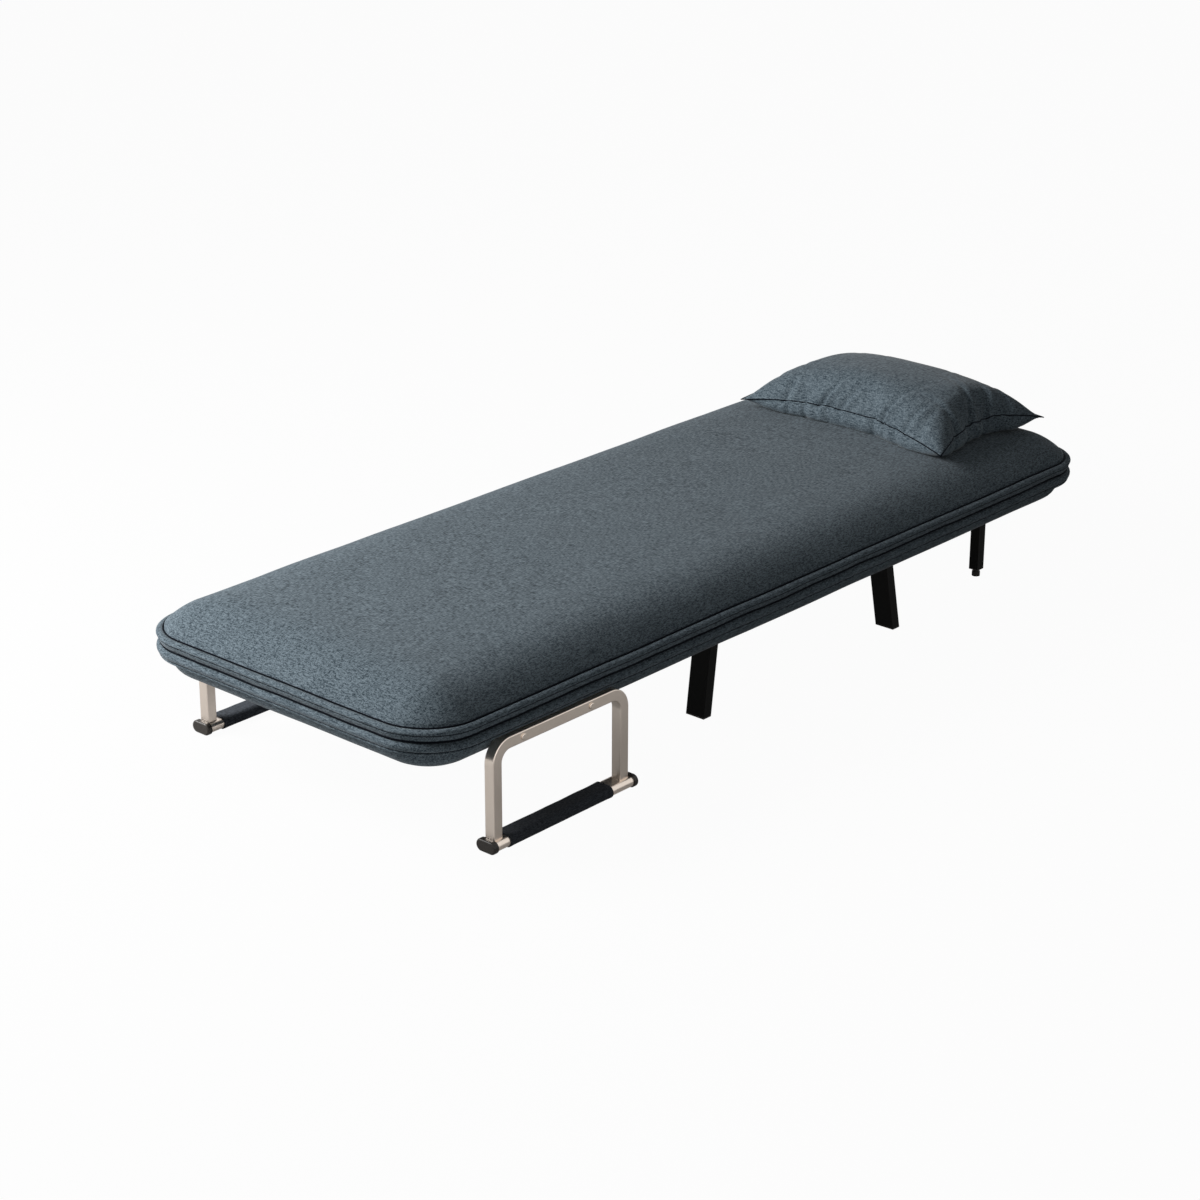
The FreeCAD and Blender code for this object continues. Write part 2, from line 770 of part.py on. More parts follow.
def flip_arm(side):
    """An upright plate on a cross tube, with the pivot eye at its top."""
    y = flip_joint_y + side * flip_half_link
    radius = flip_eye_radius
    bar = block(hinge_plane_x, arm_outer_x, y - radius, y + radius, frame_top_height,
                flip_pivot_height)
    eye = rod_x(radius, hinge_plane_x, arm_outer_x, y, flip_pivot_height)
    hole = rod_x(flip_pin_radius + running_clearance, 0, mattress_width, y, flip_pivot_height)
    return joined([bar, eye]).cut(hole)


def flip_link():
    y0 = flip_joint_y - flip_half_link
    y1 = flip_joint_y + flip_half_link
    radius = flip_eye_radius
    z = flip_pivot_height
    strip = block(link_inner_x, link_outer_x, y0, y1, z - radius, z + radius)
    eyes = [rod_x(radius, link_inner_x, link_outer_x, y, z) for y in (y0, y1)]
    holes = [rod_x(flip_pin_radius + running_clearance, 0, mattress_width, y, z) for y in (y0, y1)]
    return without(joined([strip] + eyes), holes)


def headed_pin(radius, head_radius, x0, x1, y, z):
    """A pin through plates that span x0 to x1, with a head on each side."""
    gap = running_clearance
    height = pin_head_height
    shank = rod_x(radius, x0 - gap, x1 + gap, y, z)
    heads = [rod_x(head_radius, x0 - gap - height, x0 - gap, y, z),
             rod_x(head_radius, x1 + gap, x1 + gap + height, y, z)]
    return joined([shank] + heads)


def flip_hinge():
    link = flip_link()
    save("flip_link_right", link)
    save("flip_link_left", mirrored(link))
    for name, side in (("seat", 1), ("foot", -1)):
        save("flip_hinge_" + name + "_arms", both_sides(flip_arm(side)))
        pin = headed_pin(flip_pin_radius, pin_head_radius, hinge_plane_x, link_outer_x,
                         flip_joint_y + side * flip_half_link, flip_pivot_height)
        save("flip_hinge_" + name + "_pins", both_sides(pin))


# Ratchet hinge

def on_ratchet(distance, angle_deg):
    """A point at a distance and angle from the recline pivot, as (y, z)."""
    angle = math.radians(angle_deg)
    y = recline_joint_y + distance * math.cos(angle)
    return y, recline_pivot_height + distance * math.sin(angle)


def ratchet_plate():
    """The seat's hinge plate: an upright arm, a pivot eye and a notched sector."""
    y = recline_joint_y
    z = recline_pivot_height
    tube_y = cross_tube_ys("seat")[-1]
    foot_y = tube_y + frame_tube_width - ratchet_foot_setback
    foot = [
        (tube_y, frame_top_height),
        (foot_y, frame_top_height),
        (foot_y, z - ratchet_radius),
        (y - ratchet_waist_setback, z - ratchet_radius * ratchet_waist_share),
        (y, z - recline_eye_radius),
        (y - recline_eye_radius, z),
    ]
    arm = plate_yz(foot, hinge_plane_x, arm_outer_x)
    eye = rod_x(recline_eye_radius, hinge_plane_x, arm_outer_x, y, z)
    disc = rod_x(ratchet_radius, hinge_plane_x, arm_outer_x, y, z)
    front_y = y - ratchet_sector_front_length
    top = z - ratchet_sector_top_gap
    quarter = block(0, mattress_width, front_y, y + ratchet_radius, z - ratchet_radius, top)
    sector = disc.common(quarter)
    tools = [rod_x(recline_pin_radius + running_clearance, 0, mattress_width, y, z)]
    for index in range(ratchet_notches):
        notch_y, notch_z = on_ratchet(ratchet_radius, ratchet_first_deg + index * ratchet_step_deg)
        tools.append(rod_x(ratchet_notch_radius, 0, mattress_width, notch_y, notch_z))
    return without(joined([arm, eye, sector]), tools)


def recline_arm():
    """The back's hinge plate, which also carries the pawl."""
    y = recline_joint_y
    z = recline_pivot_height
    tube_y = cross_tube_ys("back")[0]
    pin_y, pin_z = on_ratchet(pawl_pin_distance, pawl_pin_angle_deg)
    points = [
        (tube_y, frame_top_height),
        (tube_y + frame_tube_width, frame_top_height),
        (pin_y + pawl_boss_radius + pawl_arm_edge_width, pin_z),
        (y + recline_eye_radius, z),
        (y - recline_eye_radius, z),
        (tube_y, pin_z),
    ]
    arm = plate_yz(points, link_inner_x, recline_arm_outer_x)
    eye = rod_x(recline_eye_radius, link_inner_x, recline_arm_outer_x, y, z)
    tools = [
        rod_x(recline_pin_radius + running_clearance, 0, mattress_width, y, z),
        rod_x(pawl_pin_radius + running_clearance, 0, mattress_width, pin_y, pin_z),
    ]
    return without(joined([arm, eye]), tools)


def pawl():
    """A hooked lever below the sector, drawn lifted clear of the notches."""
    pin_y, pin_z = on_ratchet(pawl_pin_distance, pawl_pin_angle_deg)
    elbow_distance = ratchet_radius + pawl_elbow_distance
    elbow_y, elbow_z = on_ratchet(elbow_distance, ratchet_first_deg - pawl_elbow_deg)
    tip_y, tip_z = on_ratchet(ratchet_radius + pawl_tip_gap, ratchet_first_deg)
    half = pawl_half_width
    tip = pawl_tip_radius
    lever = plate_yz([(pin_y, pin_z - half), (pin_y, pin_z + half),
                      (elbow_y, elbow_z + half), (elbow_y, elbow_z - half)],
                     hinge_plane_x, arm_outer_x)
    nose = plate_yz([(elbow_y - half, elbow_z), (elbow_y + half, elbow_z),
                     (tip_y + tip, tip_z), (tip_y - tip, tip_z)], hinge_plane_x, arm_outer_x)
    rounds = [
        rod_x(pawl_boss_radius, hinge_plane_x, arm_outer_x, pin_y, pin_z),
        rod_x(half, hinge_plane_x, arm_outer_x, elbow_y, elbow_z),
        rod_x(tip, hinge_plane_x, arm_outer_x, tip_y, tip_z),
    ]
    hole = rod_x(pawl_pin_radius + running_clearance, 0, mattress_width, pin_y, pin_z)
    lever = joined([lever, nose] + rounds).cut(hole)
    lever.rotate(vec(0, pin_y, pin_z), vec(1, 0, 0), pawl_lift_deg)
    return lever


def recline_hinge():
    for name, piece in (("ratchet_plate", ratchet_plate()), ("recline_arm", recline_arm()),
                        ("pawl", pawl())):
        save(name + "_right", piece)
        save(name + "_left", mirrored(piece))
    pivot = headed_pin(recline_pin_radius, recline_pin_head_radius, hinge_plane_x,
                       recline_arm_outer_x, recline_joint_y, recline_pivot_height)
    save("recline_pivot_pins", both_sides(pivot))
    pin_y, pin_z = on_ratchet(pawl_pin_distance, pawl_pin_angle_deg)
    spring_outer_x = recline_arm_outer_x + pawl_spring_length
    pin = headed_pin(pawl_pin_radius, pawl_pin_head_radius, hinge_plane_x, spring_outer_x,
                     pin_y, pin_z)
    save("pawl_pins", both_sides(pin))
    bore = pawl_pin_radius + running_clearance
    spring = rod_x(bore + pawl_spring_thickness, recline_arm_outer_x, spring_outer_x, pin_y, pin_z)
    spring = spring.cut(rod_x(bore, recline_arm_outer_x, spring_outer_x, pin_y, pin_z))
    save("pawl_springs", both_sides(spring))


# Head legs

def head_leg():
    half = head_leg_tube_width / 2
    inner = half - head_leg_wall
    x = head_leg_centre_x
    z = head_leg_pivot_height
    body = block(x - half, x + half, head_leg_y - half, head_leg_y + half, head_leg_bottom, z)
    top = rod_x(half, x - half, x + half, head_leg_y, z)
    hollow = block(x - inner, x + inner, head_leg_y - inner, head_leg_y + inner, head_leg_bottom,
                   z - half)
    hole = rod_x(head_leg_rod_radius + running_clearance, 0, mattress_width, head_leg_y, z)
    return without(joined([body, top]), [hollow, hole])


def head_leg_bracket():
    """A channel under the cross tube, with the leg's top between its cheeks."""
    x = head_leg_centre_x
    inner = head_leg_tube_width / 2 + rest_gap
    outer = inner + bracket_wall
    half = bracket_length / 2
    low = head_leg_pivot_height - bracket_drop_height
    channel = block(x - outer, x + outer, head_leg_y - half, head_leg_y + half, low,
                    frame_bottom_height)
    gap = block(x - inner, x + inner, head_leg_y - half, head_leg_y + half, low,
                frame_bottom_height - bracket_wall)
    hole = rod_x(head_leg_rod_radius + running_clearance, 0, mattress_width, head_leg_y,
                 head_leg_pivot_height)
    return without(channel, [gap, hole])


def bracket_recesses():
    half_x = head_leg_tube_width / 2 + rest_gap + bracket_wall + soft_clearance
    half_y = bracket_length / 2 + soft_clearance
    x = head_leg_centre_x
    return both_sides(block(x - half_x, x + half_x, head_leg_y - half_y, head_leg_y + half_y,
                            underside_height - cut_overshoot_length, frame_bottom_height))


def leg_plug():
    """A plastic plug in the tube's end, with the levelling foot's thread."""
    half = head_leg_tube_width / 2
    inner = half - head_leg_wall - running_clearance
    x = head_leg_centre_x
    low = head_leg_bottom - plug_flange_height
    flange = block(x - half, x + half, head_leg_y - half, head_leg_y + half, low, head_leg_bottom)
    core = block(x - inner, x + inner, head_leg_y - inner, head_leg_y + inner, low,
                 low + plug_depth)
    hole = rod_z(levelling_stud_radius + running_clearance, x, head_leg_y, low, low + plug_depth)
    return joined([flange, core]).cut(hole)


def levelling_foot():
    x = head_leg_centre_x
    collar_top = head_leg_bottom - plug_flange_height
    pad = rod_z(levelling_pad_radius, x, head_leg_y, 0, levelling_pad_height)
    collar = rod_z(levelling_collar_radius, x, head_leg_y, levelling_pad_height, collar_top)
    stud = rod_z(levelling_stud_radius, x, head_leg_y, collar_top, collar_top + levelling_stud_length)
    return joined([pad, collar, stud])


def head_legs():
    leg = head_leg()
    save("head_leg_right", leg)
    save("head_leg_left", mirrored(leg))
    save("head_leg_rod", rod_x(head_leg_rod_radius, -head_leg_rod_end_x, head_leg_rod_end_x,
                               head_leg_y, head_leg_pivot_height))
    save("head_leg_brackets", both_sides(head_leg_bracket()))
    save("head_leg_plugs", both_sides(leg_plug()))
    foot = levelling_foot()
    save("levelling_foot_right", foot)
    save("levelling_foot_left", mirrored(foot))


# Pillow

def pillow_outline(half_x, half_y, draw, z):
    """Four corners joined by shallow arcs. A positive draw pulls the sides in."""
    corners = [(half_x, half_y), (-half_x, half_y), (-half_x, -half_y), (half_x, -half_y)]
    middles = [(0, half_y - draw), (-half_x + draw, 0), (0, -half_y + draw), (half_x - draw, 0)]
    edges = []
    for index, (mx, my) in enumerate(middles):
        sx, sy = corners[index]
        ex, ey = corners[(index + 1) % 4]
        edges.append(Part.Arc(vec(sx, sy, z), vec(mx, my, z), vec(ex, ey, z)).toShape())
    return Part.Wire(edges)


def pillow_levels():
    """Shares of the half length, half depth and height, with each level's side draw."""
    levels = []
    for angle_deg in (-62, -40, -20, 0, 20, 40, 58, 72, 82):
        angle = math.radians(angle_deg)
        reach = math.cos(angle)
        rise = math.sin(angle)
        draw = pillow_side_draw * reach - pillow_face_swell * (1 - reach) * 2
        levels.append((reach, rise, draw))
    return levels


def pillow():
    base = top_height + rest_gap
    seam = pillow_height * pillow_seam_share
    deepest = math.sin(math.radians(62))
    highest = math.sin(math.radians(82))
    outlines = []
    for reach, rise, draw in pillow_levels():
        below = rise / deepest * seam
        above = rise / highest * (pillow_height - seam)
        z = base + seam + (above if rise > 0 else below)
        narrowing = (1 - reach) * 0.25 * pillow_depth
        half_x = pillow_length / 2 - (1 - reach) * 0.5 * pillow_depth - narrowing
        half_y = pillow_depth / 2 * (0.18 + 0.82 * reach)
        outlines.append(pillow_outline(half_x, half_y, draw, z))
    body = Part.makeLoft(outlines, True, True)
    body.rotate(vec(0, 0, 0), vec(0, 0, 1), pillow_turn_deg)
    body.translate(vec(pillow_centre_x, pillow_centre_y, 0))
    save("pillow", body)


def main():
    os.makedirs("parts", exist_ok=True)
    seat_pads()
    foot_pads()
    back_pads()
    seat_frame()
    foot_frame()
    back_frame()
    fixed_legs()
    armrests()
    flip_hinge()
    recline_hinge()
    head_legs()
    pillow()


main()
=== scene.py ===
# %% [markdown]
# # A convertible chair bed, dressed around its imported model
# The steel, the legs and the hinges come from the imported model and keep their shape. Blender adds
# what that model leaves plain: the sewn covers, the loose pillow, the armrest sleeves and every
# finish. All numbers are metres, in the same frame as the model: X across the bed, Y from the
# foot end to the head end, Z up, with the floor at zero.

import bmesh
import bpy
import json
import math
import numpy as np
from mathutils import Matrix, Vector, noise


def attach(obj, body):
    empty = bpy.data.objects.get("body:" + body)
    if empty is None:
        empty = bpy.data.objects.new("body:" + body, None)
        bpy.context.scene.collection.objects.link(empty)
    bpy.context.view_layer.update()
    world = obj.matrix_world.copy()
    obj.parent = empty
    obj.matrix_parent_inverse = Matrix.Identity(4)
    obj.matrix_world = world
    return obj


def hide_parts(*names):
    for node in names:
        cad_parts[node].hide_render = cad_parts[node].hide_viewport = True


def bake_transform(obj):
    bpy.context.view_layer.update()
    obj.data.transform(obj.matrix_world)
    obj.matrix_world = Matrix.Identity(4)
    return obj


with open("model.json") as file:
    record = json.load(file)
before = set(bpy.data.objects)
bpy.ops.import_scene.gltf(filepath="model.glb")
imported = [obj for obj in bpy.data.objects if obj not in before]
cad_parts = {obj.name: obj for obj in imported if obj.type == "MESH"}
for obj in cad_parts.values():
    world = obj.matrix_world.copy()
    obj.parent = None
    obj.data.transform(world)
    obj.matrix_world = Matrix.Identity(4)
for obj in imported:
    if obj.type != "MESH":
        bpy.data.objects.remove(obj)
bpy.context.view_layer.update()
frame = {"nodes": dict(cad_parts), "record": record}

# %% [markdown]
# ## Camera
# The camera stands where the photographer stood: 42 degrees round from the foot end and 22
# degrees up, with a long lens, so that parallel edges of the bed stay nearly parallel. A camera
# looks along its own -Z axis, so its three axes are written straight into its matrix.

# %% One helper for every object


def new_object(name, data):
    """An object for the data, linked into the scene."""
    made = bpy.data.objects.new(name, data)
    bpy.context.scene.collection.objects.link(made)
    return made


# %% Camera
azimuth_deg = 41.70
elevation_deg = 21.85
roll_deg = 0.12
lens_mm = 87.99
camera_place = Vector((3.2149, -3.7388, 2.0827))


def camera_matrix(place, azimuth, elevation, roll):
    """The camera's right, up and backward axes as the columns of its matrix."""
    flat = math.cos(elevation)
    back = Vector((math.sin(azimuth) * flat, -math.cos(azimuth) * flat, math.sin(elevation)))
    level = Vector((math.cos(azimuth), math.sin(azimuth), 0))
    raised = back.cross(level)
    right = math.cos(roll) * level + math.sin(roll) * raised
    up = math.cos(roll) * raised - math.sin(roll) * level
    turned = Matrix((right, up, back)).transposed()
    return Matrix.Translation(place) @ turned.to_4x4()


camera_data = bpy.data.cameras.new("camera")
camera_data.lens = lens_mm
camera_data.sensor_width = 36.0
camera_data.clip_end = 60.0
camera = new_object("camera", camera_data)
angles = [math.radians(a) for a in (azimuth_deg, elevation_deg, roll_deg)]
camera.matrix_world = camera_matrix(camera_place, *angles)
bpy.context.scene.camera = camera
bpy.context.scene.view_settings.view_transform = "Standard"
print("camera stands", round(camera_place.length, 2), "m from the origin")

# %% [markdown]
# ## Floor, background and lamps
# A catalogue photograph has a white background but lights the object at a plain level. Light Path
# tells the shader what kind of ray is asking: the camera, glossy and transmission rays see white,
# and all the others see a dim room. The floor mixes its white with a little real shading, so the
# shadow under the bed stays.

# %% Node helpers


def add_node(tree, kind, values=None, **settings):
    """A new node with its settings and its inputs' values."""
    node = tree.nodes.new(kind)
    for name, value in settings.items():
        setattr(node, name, value)
    for name, value in (values or {}).items():
        node.inputs[name].default_value = value
    return node


def math_node(tree, operation, first, second=0.5, clamp=False):
    """A Math node; each operand is a number or a socket."""
    node = tree.nodes.new("ShaderNodeMath")
    node.operation = operation
    node.use_clamp = clamp
    for socket, value in zip(node.inputs, (first, second)):
        if isinstance(value, (int, float)):
            socket.default_value = value
        else:
            tree.links.new(value, socket)
    return node.outputs[0]


def seen_directly(tree, camera_share=1.0, shiny_share=1.0):
    """One share for camera rays, one for glossy and transmission rays, and 0 for all others."""
    path = tree.nodes.new("ShaderNodeLightPath")
    shiny = math_node(tree, "MAXIMUM", path.outputs["Is Glossy Ray"],
                      path.outputs["Is Transmission Ray"])
    shiny = math_node(tree, "MULTIPLY", shiny, shiny_share)
    plain = math_node(tree, "MULTIPLY", path.outputs["Is Camera Ray"], camera_share)
    return math_node(tree, "MAXIMUM", plain, shiny)


# %% World and floor
room_light = 0.10
room_tint = (1.0, 0.98, 0.95, 1)
floor_white_share = 0.965
floor_white_in_metal = 0.22
floor_tone = 0.48
floor_size = 30.0

world = bpy.data.worlds.new("studio")
bpy.context.scene.world = world
world.use_nodes = True
tree = world.node_tree
tree.nodes.clear()
white = add_node(tree, "ShaderNodeBackground", {"Color": (1, 1, 1, 1), "Strength": 1.0})
room = add_node(tree, "ShaderNodeBackground", {"Color": room_tint, "Strength": room_light})
choice = tree.nodes.new("ShaderNodeMixShader")
world_out = tree.nodes.new("ShaderNodeOutputWorld")
tree.links.new(seen_directly(tree), choice.inputs[0])
tree.links.new(room.outputs[0], choice.inputs[1])
tree.links.new(white.outputs[0], choice.inputs[2])
tree.links.new(choice.outputs[0], world_out.inputs[0])

floor_material = bpy.data.materials.new("pale_floor")
floor_material.use_nodes = True
tree = floor_material.node_tree
tree.nodes.clear()
shaded = add_node(tree, "ShaderNodeBsdfDiffuse", {"Color": (floor_tone, floor_tone, floor_tone, 1)})
glowing = add_node(tree, "ShaderNodeEmission", {"Color": (1, 1, 1, 1), "Strength": 1.0})
choice = tree.nodes.new("ShaderNodeMixShader")
floor_out = tree.nodes.new("ShaderNodeOutputMaterial")
tree.links.new(seen_directly(tree, floor_white_share, floor_white_in_metal), choice.inputs[0])
tree.links.new(shaded.outputs[0], choice.inputs[1])
tree.links.new(glowing.outputs[0], choice.inputs[2])
tree.links.new(choice.outputs[0], floor_out.inputs[0])

floor_mesh = bpy.data.meshes.new("floor")
half = floor_size / 2
corners = [(-half, -half, 0), (half, -half, 0), (half, half, 0), (-half, half, 0)]
floor_mesh.from_pydata(corners, [], [(0, 1, 2, 3)])
floor = new_object("floor", floor_mesh)
floor_mesh.materials.append(floor_material)

# %% Lamps


def softbox(name, place, target, size, watts):
    """A large square lamp that faces a point of the bed."""
    data = bpy.data.lights.new(name, "AREA")
    data.size = size
    data.energy = watts
    lamp = new_object(name, data)
    lamp.location = place
    aim = Vector(target) - Vector(place)
    lamp.rotation_mode = "QUATERNION"
    lamp.rotation_quaternion = aim.to_track_quat("-Z", "Y")


softbox("key_at_the_foot_end", (-1.95, -2.15, 1.90), (0, -0.5, 0.25), 1.6, 168)
softbox("soft_side_fill", (3.0, -1.6, 1.0), (0, 0, 0.15), 1.8, 8)

# %% [markdown]
# ## Shader groups
# Several finishes share an effect, so each effect is a node group with named inputs and outputs.
# The melange group mixes dark and pale yarn: two noises, one stretched along the bed and one
# across it, stand for warp and weft, a fine one adds flecks and a slow one lets the tone drift.
# All of them read object coordinates, so the pattern has one real scale and needs no unwrapping.

# %% Group helpers


def new_group(name, inputs, outputs):
    """An empty shader group. An input is (name, socket type, default), an output has no default."""
    group = bpy.data.node_groups.new(name, "ShaderNodeTree")
    for label, kind, value in inputs:
        socket = group.interface.new_socket(label, in_out="INPUT", socket_type=kind)
        socket.default_value = value
    for label, kind in outputs:
        group.interface.new_socket(label, in_out="OUTPUT", socket_type=kind)
    source = group.nodes.new("NodeGroupInput")
    sink = group.nodes.new("NodeGroupOutput")
    return group, source, sink


def stretched_noise(tree, place, stretch, scale, detail=2.0, roughness=0.5):
    """Noise whose grains are drawn out along the axes where stretch is small."""
    mapping = add_node(tree, "ShaderNodeMapping", {"Scale": stretch})
    tree.links.new(place, mapping.inputs["Vector"])
    grain = add_node(tree, "ShaderNodeTexNoise", {"Detail": detail, "Roughness": roughness})
    tree.links.new(mapping.outputs[0], grain.inputs["Vector"])
    if isinstance(scale, (int, float)):
        grain.inputs["Scale"].default_value = scale
    else:
        tree.links.new(scale, grain.inputs["Scale"])
    return grain.outputs["Fac"]


def mix_colour(tree, factor, first, second, blend="MIX"):
    """A colour mix; each colour is an RGBA value or a socket."""
    node = tree.nodes.new("ShaderNodeMix")
    node.data_type = "RGBA"
    node.blend_type = blend
    for socket, value in ((node.inputs[0], factor), (node.inputs[6], first), (node.inputs[7], second)):
        if isinstance(value, (int, float, tuple)):
            socket.default_value = value
        else:
            tree.links.new(value, socket)
    return node.outputs[2]


# %% Melange weave
FLOAT = "NodeSocketFloat"
COLOUR = "NodeSocketColor"
warp_stretch = (1, 0.22, 1)
weft_stretch = (0.22, 1, 1)
weave_gain = 2.1
fleck_stretch = (1, 0.8, 1)
fleck_scale = 620.0
fleck_gain = 0.65
drift_stretch = (1, 0.7, 1)
drift_scale = 26.0
drift_gain = 0.30
yarn_roughness = 0.92
pale_yarn_shine = 0.10


def melange_group():
    """Colour, height and roughness of cloth woven from a dark and a pale yarn."""
    group, source, sink = new_group(
        "woven_melange",
        [("Dark Yarn", COLOUR, (0.02, 0.03, 0.04, 1)), ("Pale Yarn", COLOUR, (0.2, 0.25, 0.3, 1)),
         ("Yarns per Metre", FLOAT, 560.0), ("Contrast", FLOAT, 1.0)],
        [("Color", COLOUR), ("Height", FLOAT), ("Roughness", FLOAT)])
    place = group.nodes.new("ShaderNodeTexCoord").outputs["Object"]
    yarns = source.outputs["Yarns per Metre"]
    warp = stretched_noise(group, place, warp_stretch, yarns, 1.0, 0.6)
    weft = stretched_noise(group, place, weft_stretch, yarns, 1.0, 0.6)
    fleck = stretched_noise(group, place, fleck_stretch, fleck_scale, 1.0, 0.5)
    drift = stretched_noise(group, place, drift_stretch, drift_scale, 3.0, 0.6)
    cross = math_node(group, "SUBTRACT", math_node(group, "ADD", warp, weft), 1.0)
    cross = math_node(group, "MULTIPLY", cross, weave_gain)
    flecks = math_node(group, "MULTIPLY", math_node(group, "SUBTRACT", fleck, 0.5), fleck_gain)
    slow = math_node(group, "MULTIPLY", math_node(group, "SUBTRACT", drift, 0.5), drift_gain)
    total = math_node(group, "ADD", math_node(group, "ADD", cross, flecks), slow)
    total = math_node(group, "MULTIPLY", total, source.outputs["Contrast"])
    share = math_node(group, "ADD", total, 0.5, clamp=True)
    colour = mix_colour(group, share, source.outputs["Dark Yarn"], source.outputs["Pale Yarn"])
    height = math_node(group, "ADD", math_node(group, "MULTIPLY", warp, 0.5),
                       math_node(group, "MULTIPLY", weft, 0.5))
    shine = math_node(group, "MULTIPLY", share, -pale_yarn_shine)
    rough = math_node(group, "ADD", shine, yarn_roughness)
    group.links.new(colour, sink.inputs["Color"])
    group.links.new(height, sink.inputs["Height"])
    group.links.new(rough, sink.inputs["Roughness"])
    return group


melange = melange_group()
print("groups:", [g.name for g in bpy.data.node_groups])

# %% Fine grain for metal, paint and plastic
blotch_scale = 22.0


def grain_group():
    """Colour, roughness and height of a hard finish with a fine grain and slow blotches."""
    group, source, sink = new_group(
        "fine_grain",
        [("Color", COLOUR, (0.5, 0.5, 0.5, 1)), ("Base Roughness", FLOAT, 0.3),
         ("Roughness Spread", FLOAT, 0.1), ("Grain Scale", FLOAT, 900.0), ("Stretch", FLOAT, 1.0),
         ("Tone Spread", FLOAT, 0.1)],
        [("Color", COLOUR), ("Roughness", FLOAT), ("Height", FLOAT)])
    place = group.nodes.new("ShaderNodeTexCoord").outputs["Object"]
    combine = group.nodes.new("ShaderNodeCombineXYZ")
    combine.inputs["X"].default_value = 1.0
    combine.inputs["Y"].default_value = 1.0
    group.links.new(source.outputs["Stretch"], combine.inputs["Z"])
    mapping = group.nodes.new("ShaderNodeMapping")
    group.links.new(place, mapping.inputs["Vector"])
    group.links.new(combine.outputs[0], mapping.inputs["Scale"])
    fine = add_node(group, "ShaderNodeTexNoise", {"Detail": 2.0, "Roughness": 0.6})
    group.links.new(mapping.outputs[0], fine.inputs["Vector"])
    group.links.new(source.outputs["Grain Scale"], fine.inputs["Scale"])
    slow = stretched_noise(group, place, (1, 1, 1), blotch_scale, 3.0, 0.6)
    swing = math_node(group, "SUBTRACT", math_node(group, "ADD", fine.outputs["Fac"], slow), 1.0)
    rough = math_node(group, "MULTIPLY", swing, source.outputs["Roughness Spread"])
    rough = math_node(group, "ADD", rough, source.outputs["Base Roughness"], clamp=True)
    tone = math_node(group, "MULTIPLY", swing, source.outputs["Tone Spread"])
    tone = math_node(group, "ADD", tone, 1.0)
    shade = mix_colour(group, 1.0, source.outputs["Color"], tone, blend="MULTIPLY")
    group.links.new(shade, sink.inputs["Color"])
    group.links.new(rough, sink.inputs["Roughness"])
    group.links.new(fine.outputs["Fac"], sink.inputs["Height"])
    return group


fine_grain = grain_group()

# %% [markdown]
# ## Materials
# Each finish is a Principled BSDF with its constants on its own sockets and a shared group for
# what varies. Fabric gets a soft sheen, because its fibres stand up and catch light at the edges.

# %% Material helpers
sheen_roughness = 0.45
fibre_specular = 0.12
weave_bump = 0.55
grain_bump = 0.35


def shader_material(name, constants):
    """A material with one Principled BSDF; constants go on its own sockets."""
    material = bpy.data.materials.new(name)
    material.use_nodes = True
    tree = material.node_tree
    shader = tree.nodes["Principled BSDF"]
    for socket, value in constants.items():
        shader.inputs[socket].default_value = value
    return material, tree, shader


def place_group(tree, group, values):
    """A shader group in a material, with its inputs' values."""
    node = tree.nodes.new("ShaderNodeGroup")
    node.node_tree = group
    for label, value in values.items():
        node.inputs[label].default_value = value
    return node


def add_bump(tree, shader, height, strength, distance):
    """Bump from a height socket. distance is the relief in metres."""
    bump = add_node(tree, "ShaderNodeBump", {"Strength": strength, "Distance": distance})
    tree.links.new(height, bump.inputs["Height"])
    tree.links.new(bump.outputs[0], shader.inputs["Normal"])


def fabric(name, dark, pale, sheen, contrast=1.0, yarns=560.0, relief=0.0005):
    """A woven fabric from two yarn colours."""
    constants = {"Sheen Weight": sheen, "Sheen Roughness": sheen_roughness,
                 "Specular IOR Level": fibre_specular}
    material, tree, shader = shader_material(name, constants)
    weave = place_group(tree, melange, {"Dark Yarn": dark, "Pale Yarn": pale,
                                        "Yarns per Metre": yarns, "Contrast": contrast})
    tree.links.new(weave.outputs["Color"], shader.inputs["Base Color"])
    tree.links.new(weave.outputs["Roughness"], shader.inputs["Roughness"])
    add_bump(tree, shader, weave.outputs["Height"], weave_bump, relief)
    return material


def grained(name, colour, roughness, constants, spread=0.1, scale=900.0, stretch=1.0, tone=0.12,
            relief=0.00005):
    """A hard finish with fine grain, such as metal, paint or plastic."""
    material, tree, shader = shader_material(name, constants)
    grain = place_group(tree, fine_grain, {"Color": colour, "Base Roughness": roughness,
                                           "Roughness Spread": spread, "Grain Scale": scale,
                                           "Stretch": stretch, "Tone Spread": tone})
    tree.links.new(grain.outputs["Color"], shader.inputs["Base Color"])
    tree.links.new(grain.outputs["Roughness"], shader.inputs["Roughness"])
    add_bump(tree, shader, grain.outputs["Height"], grain_bump, relief)
    return material


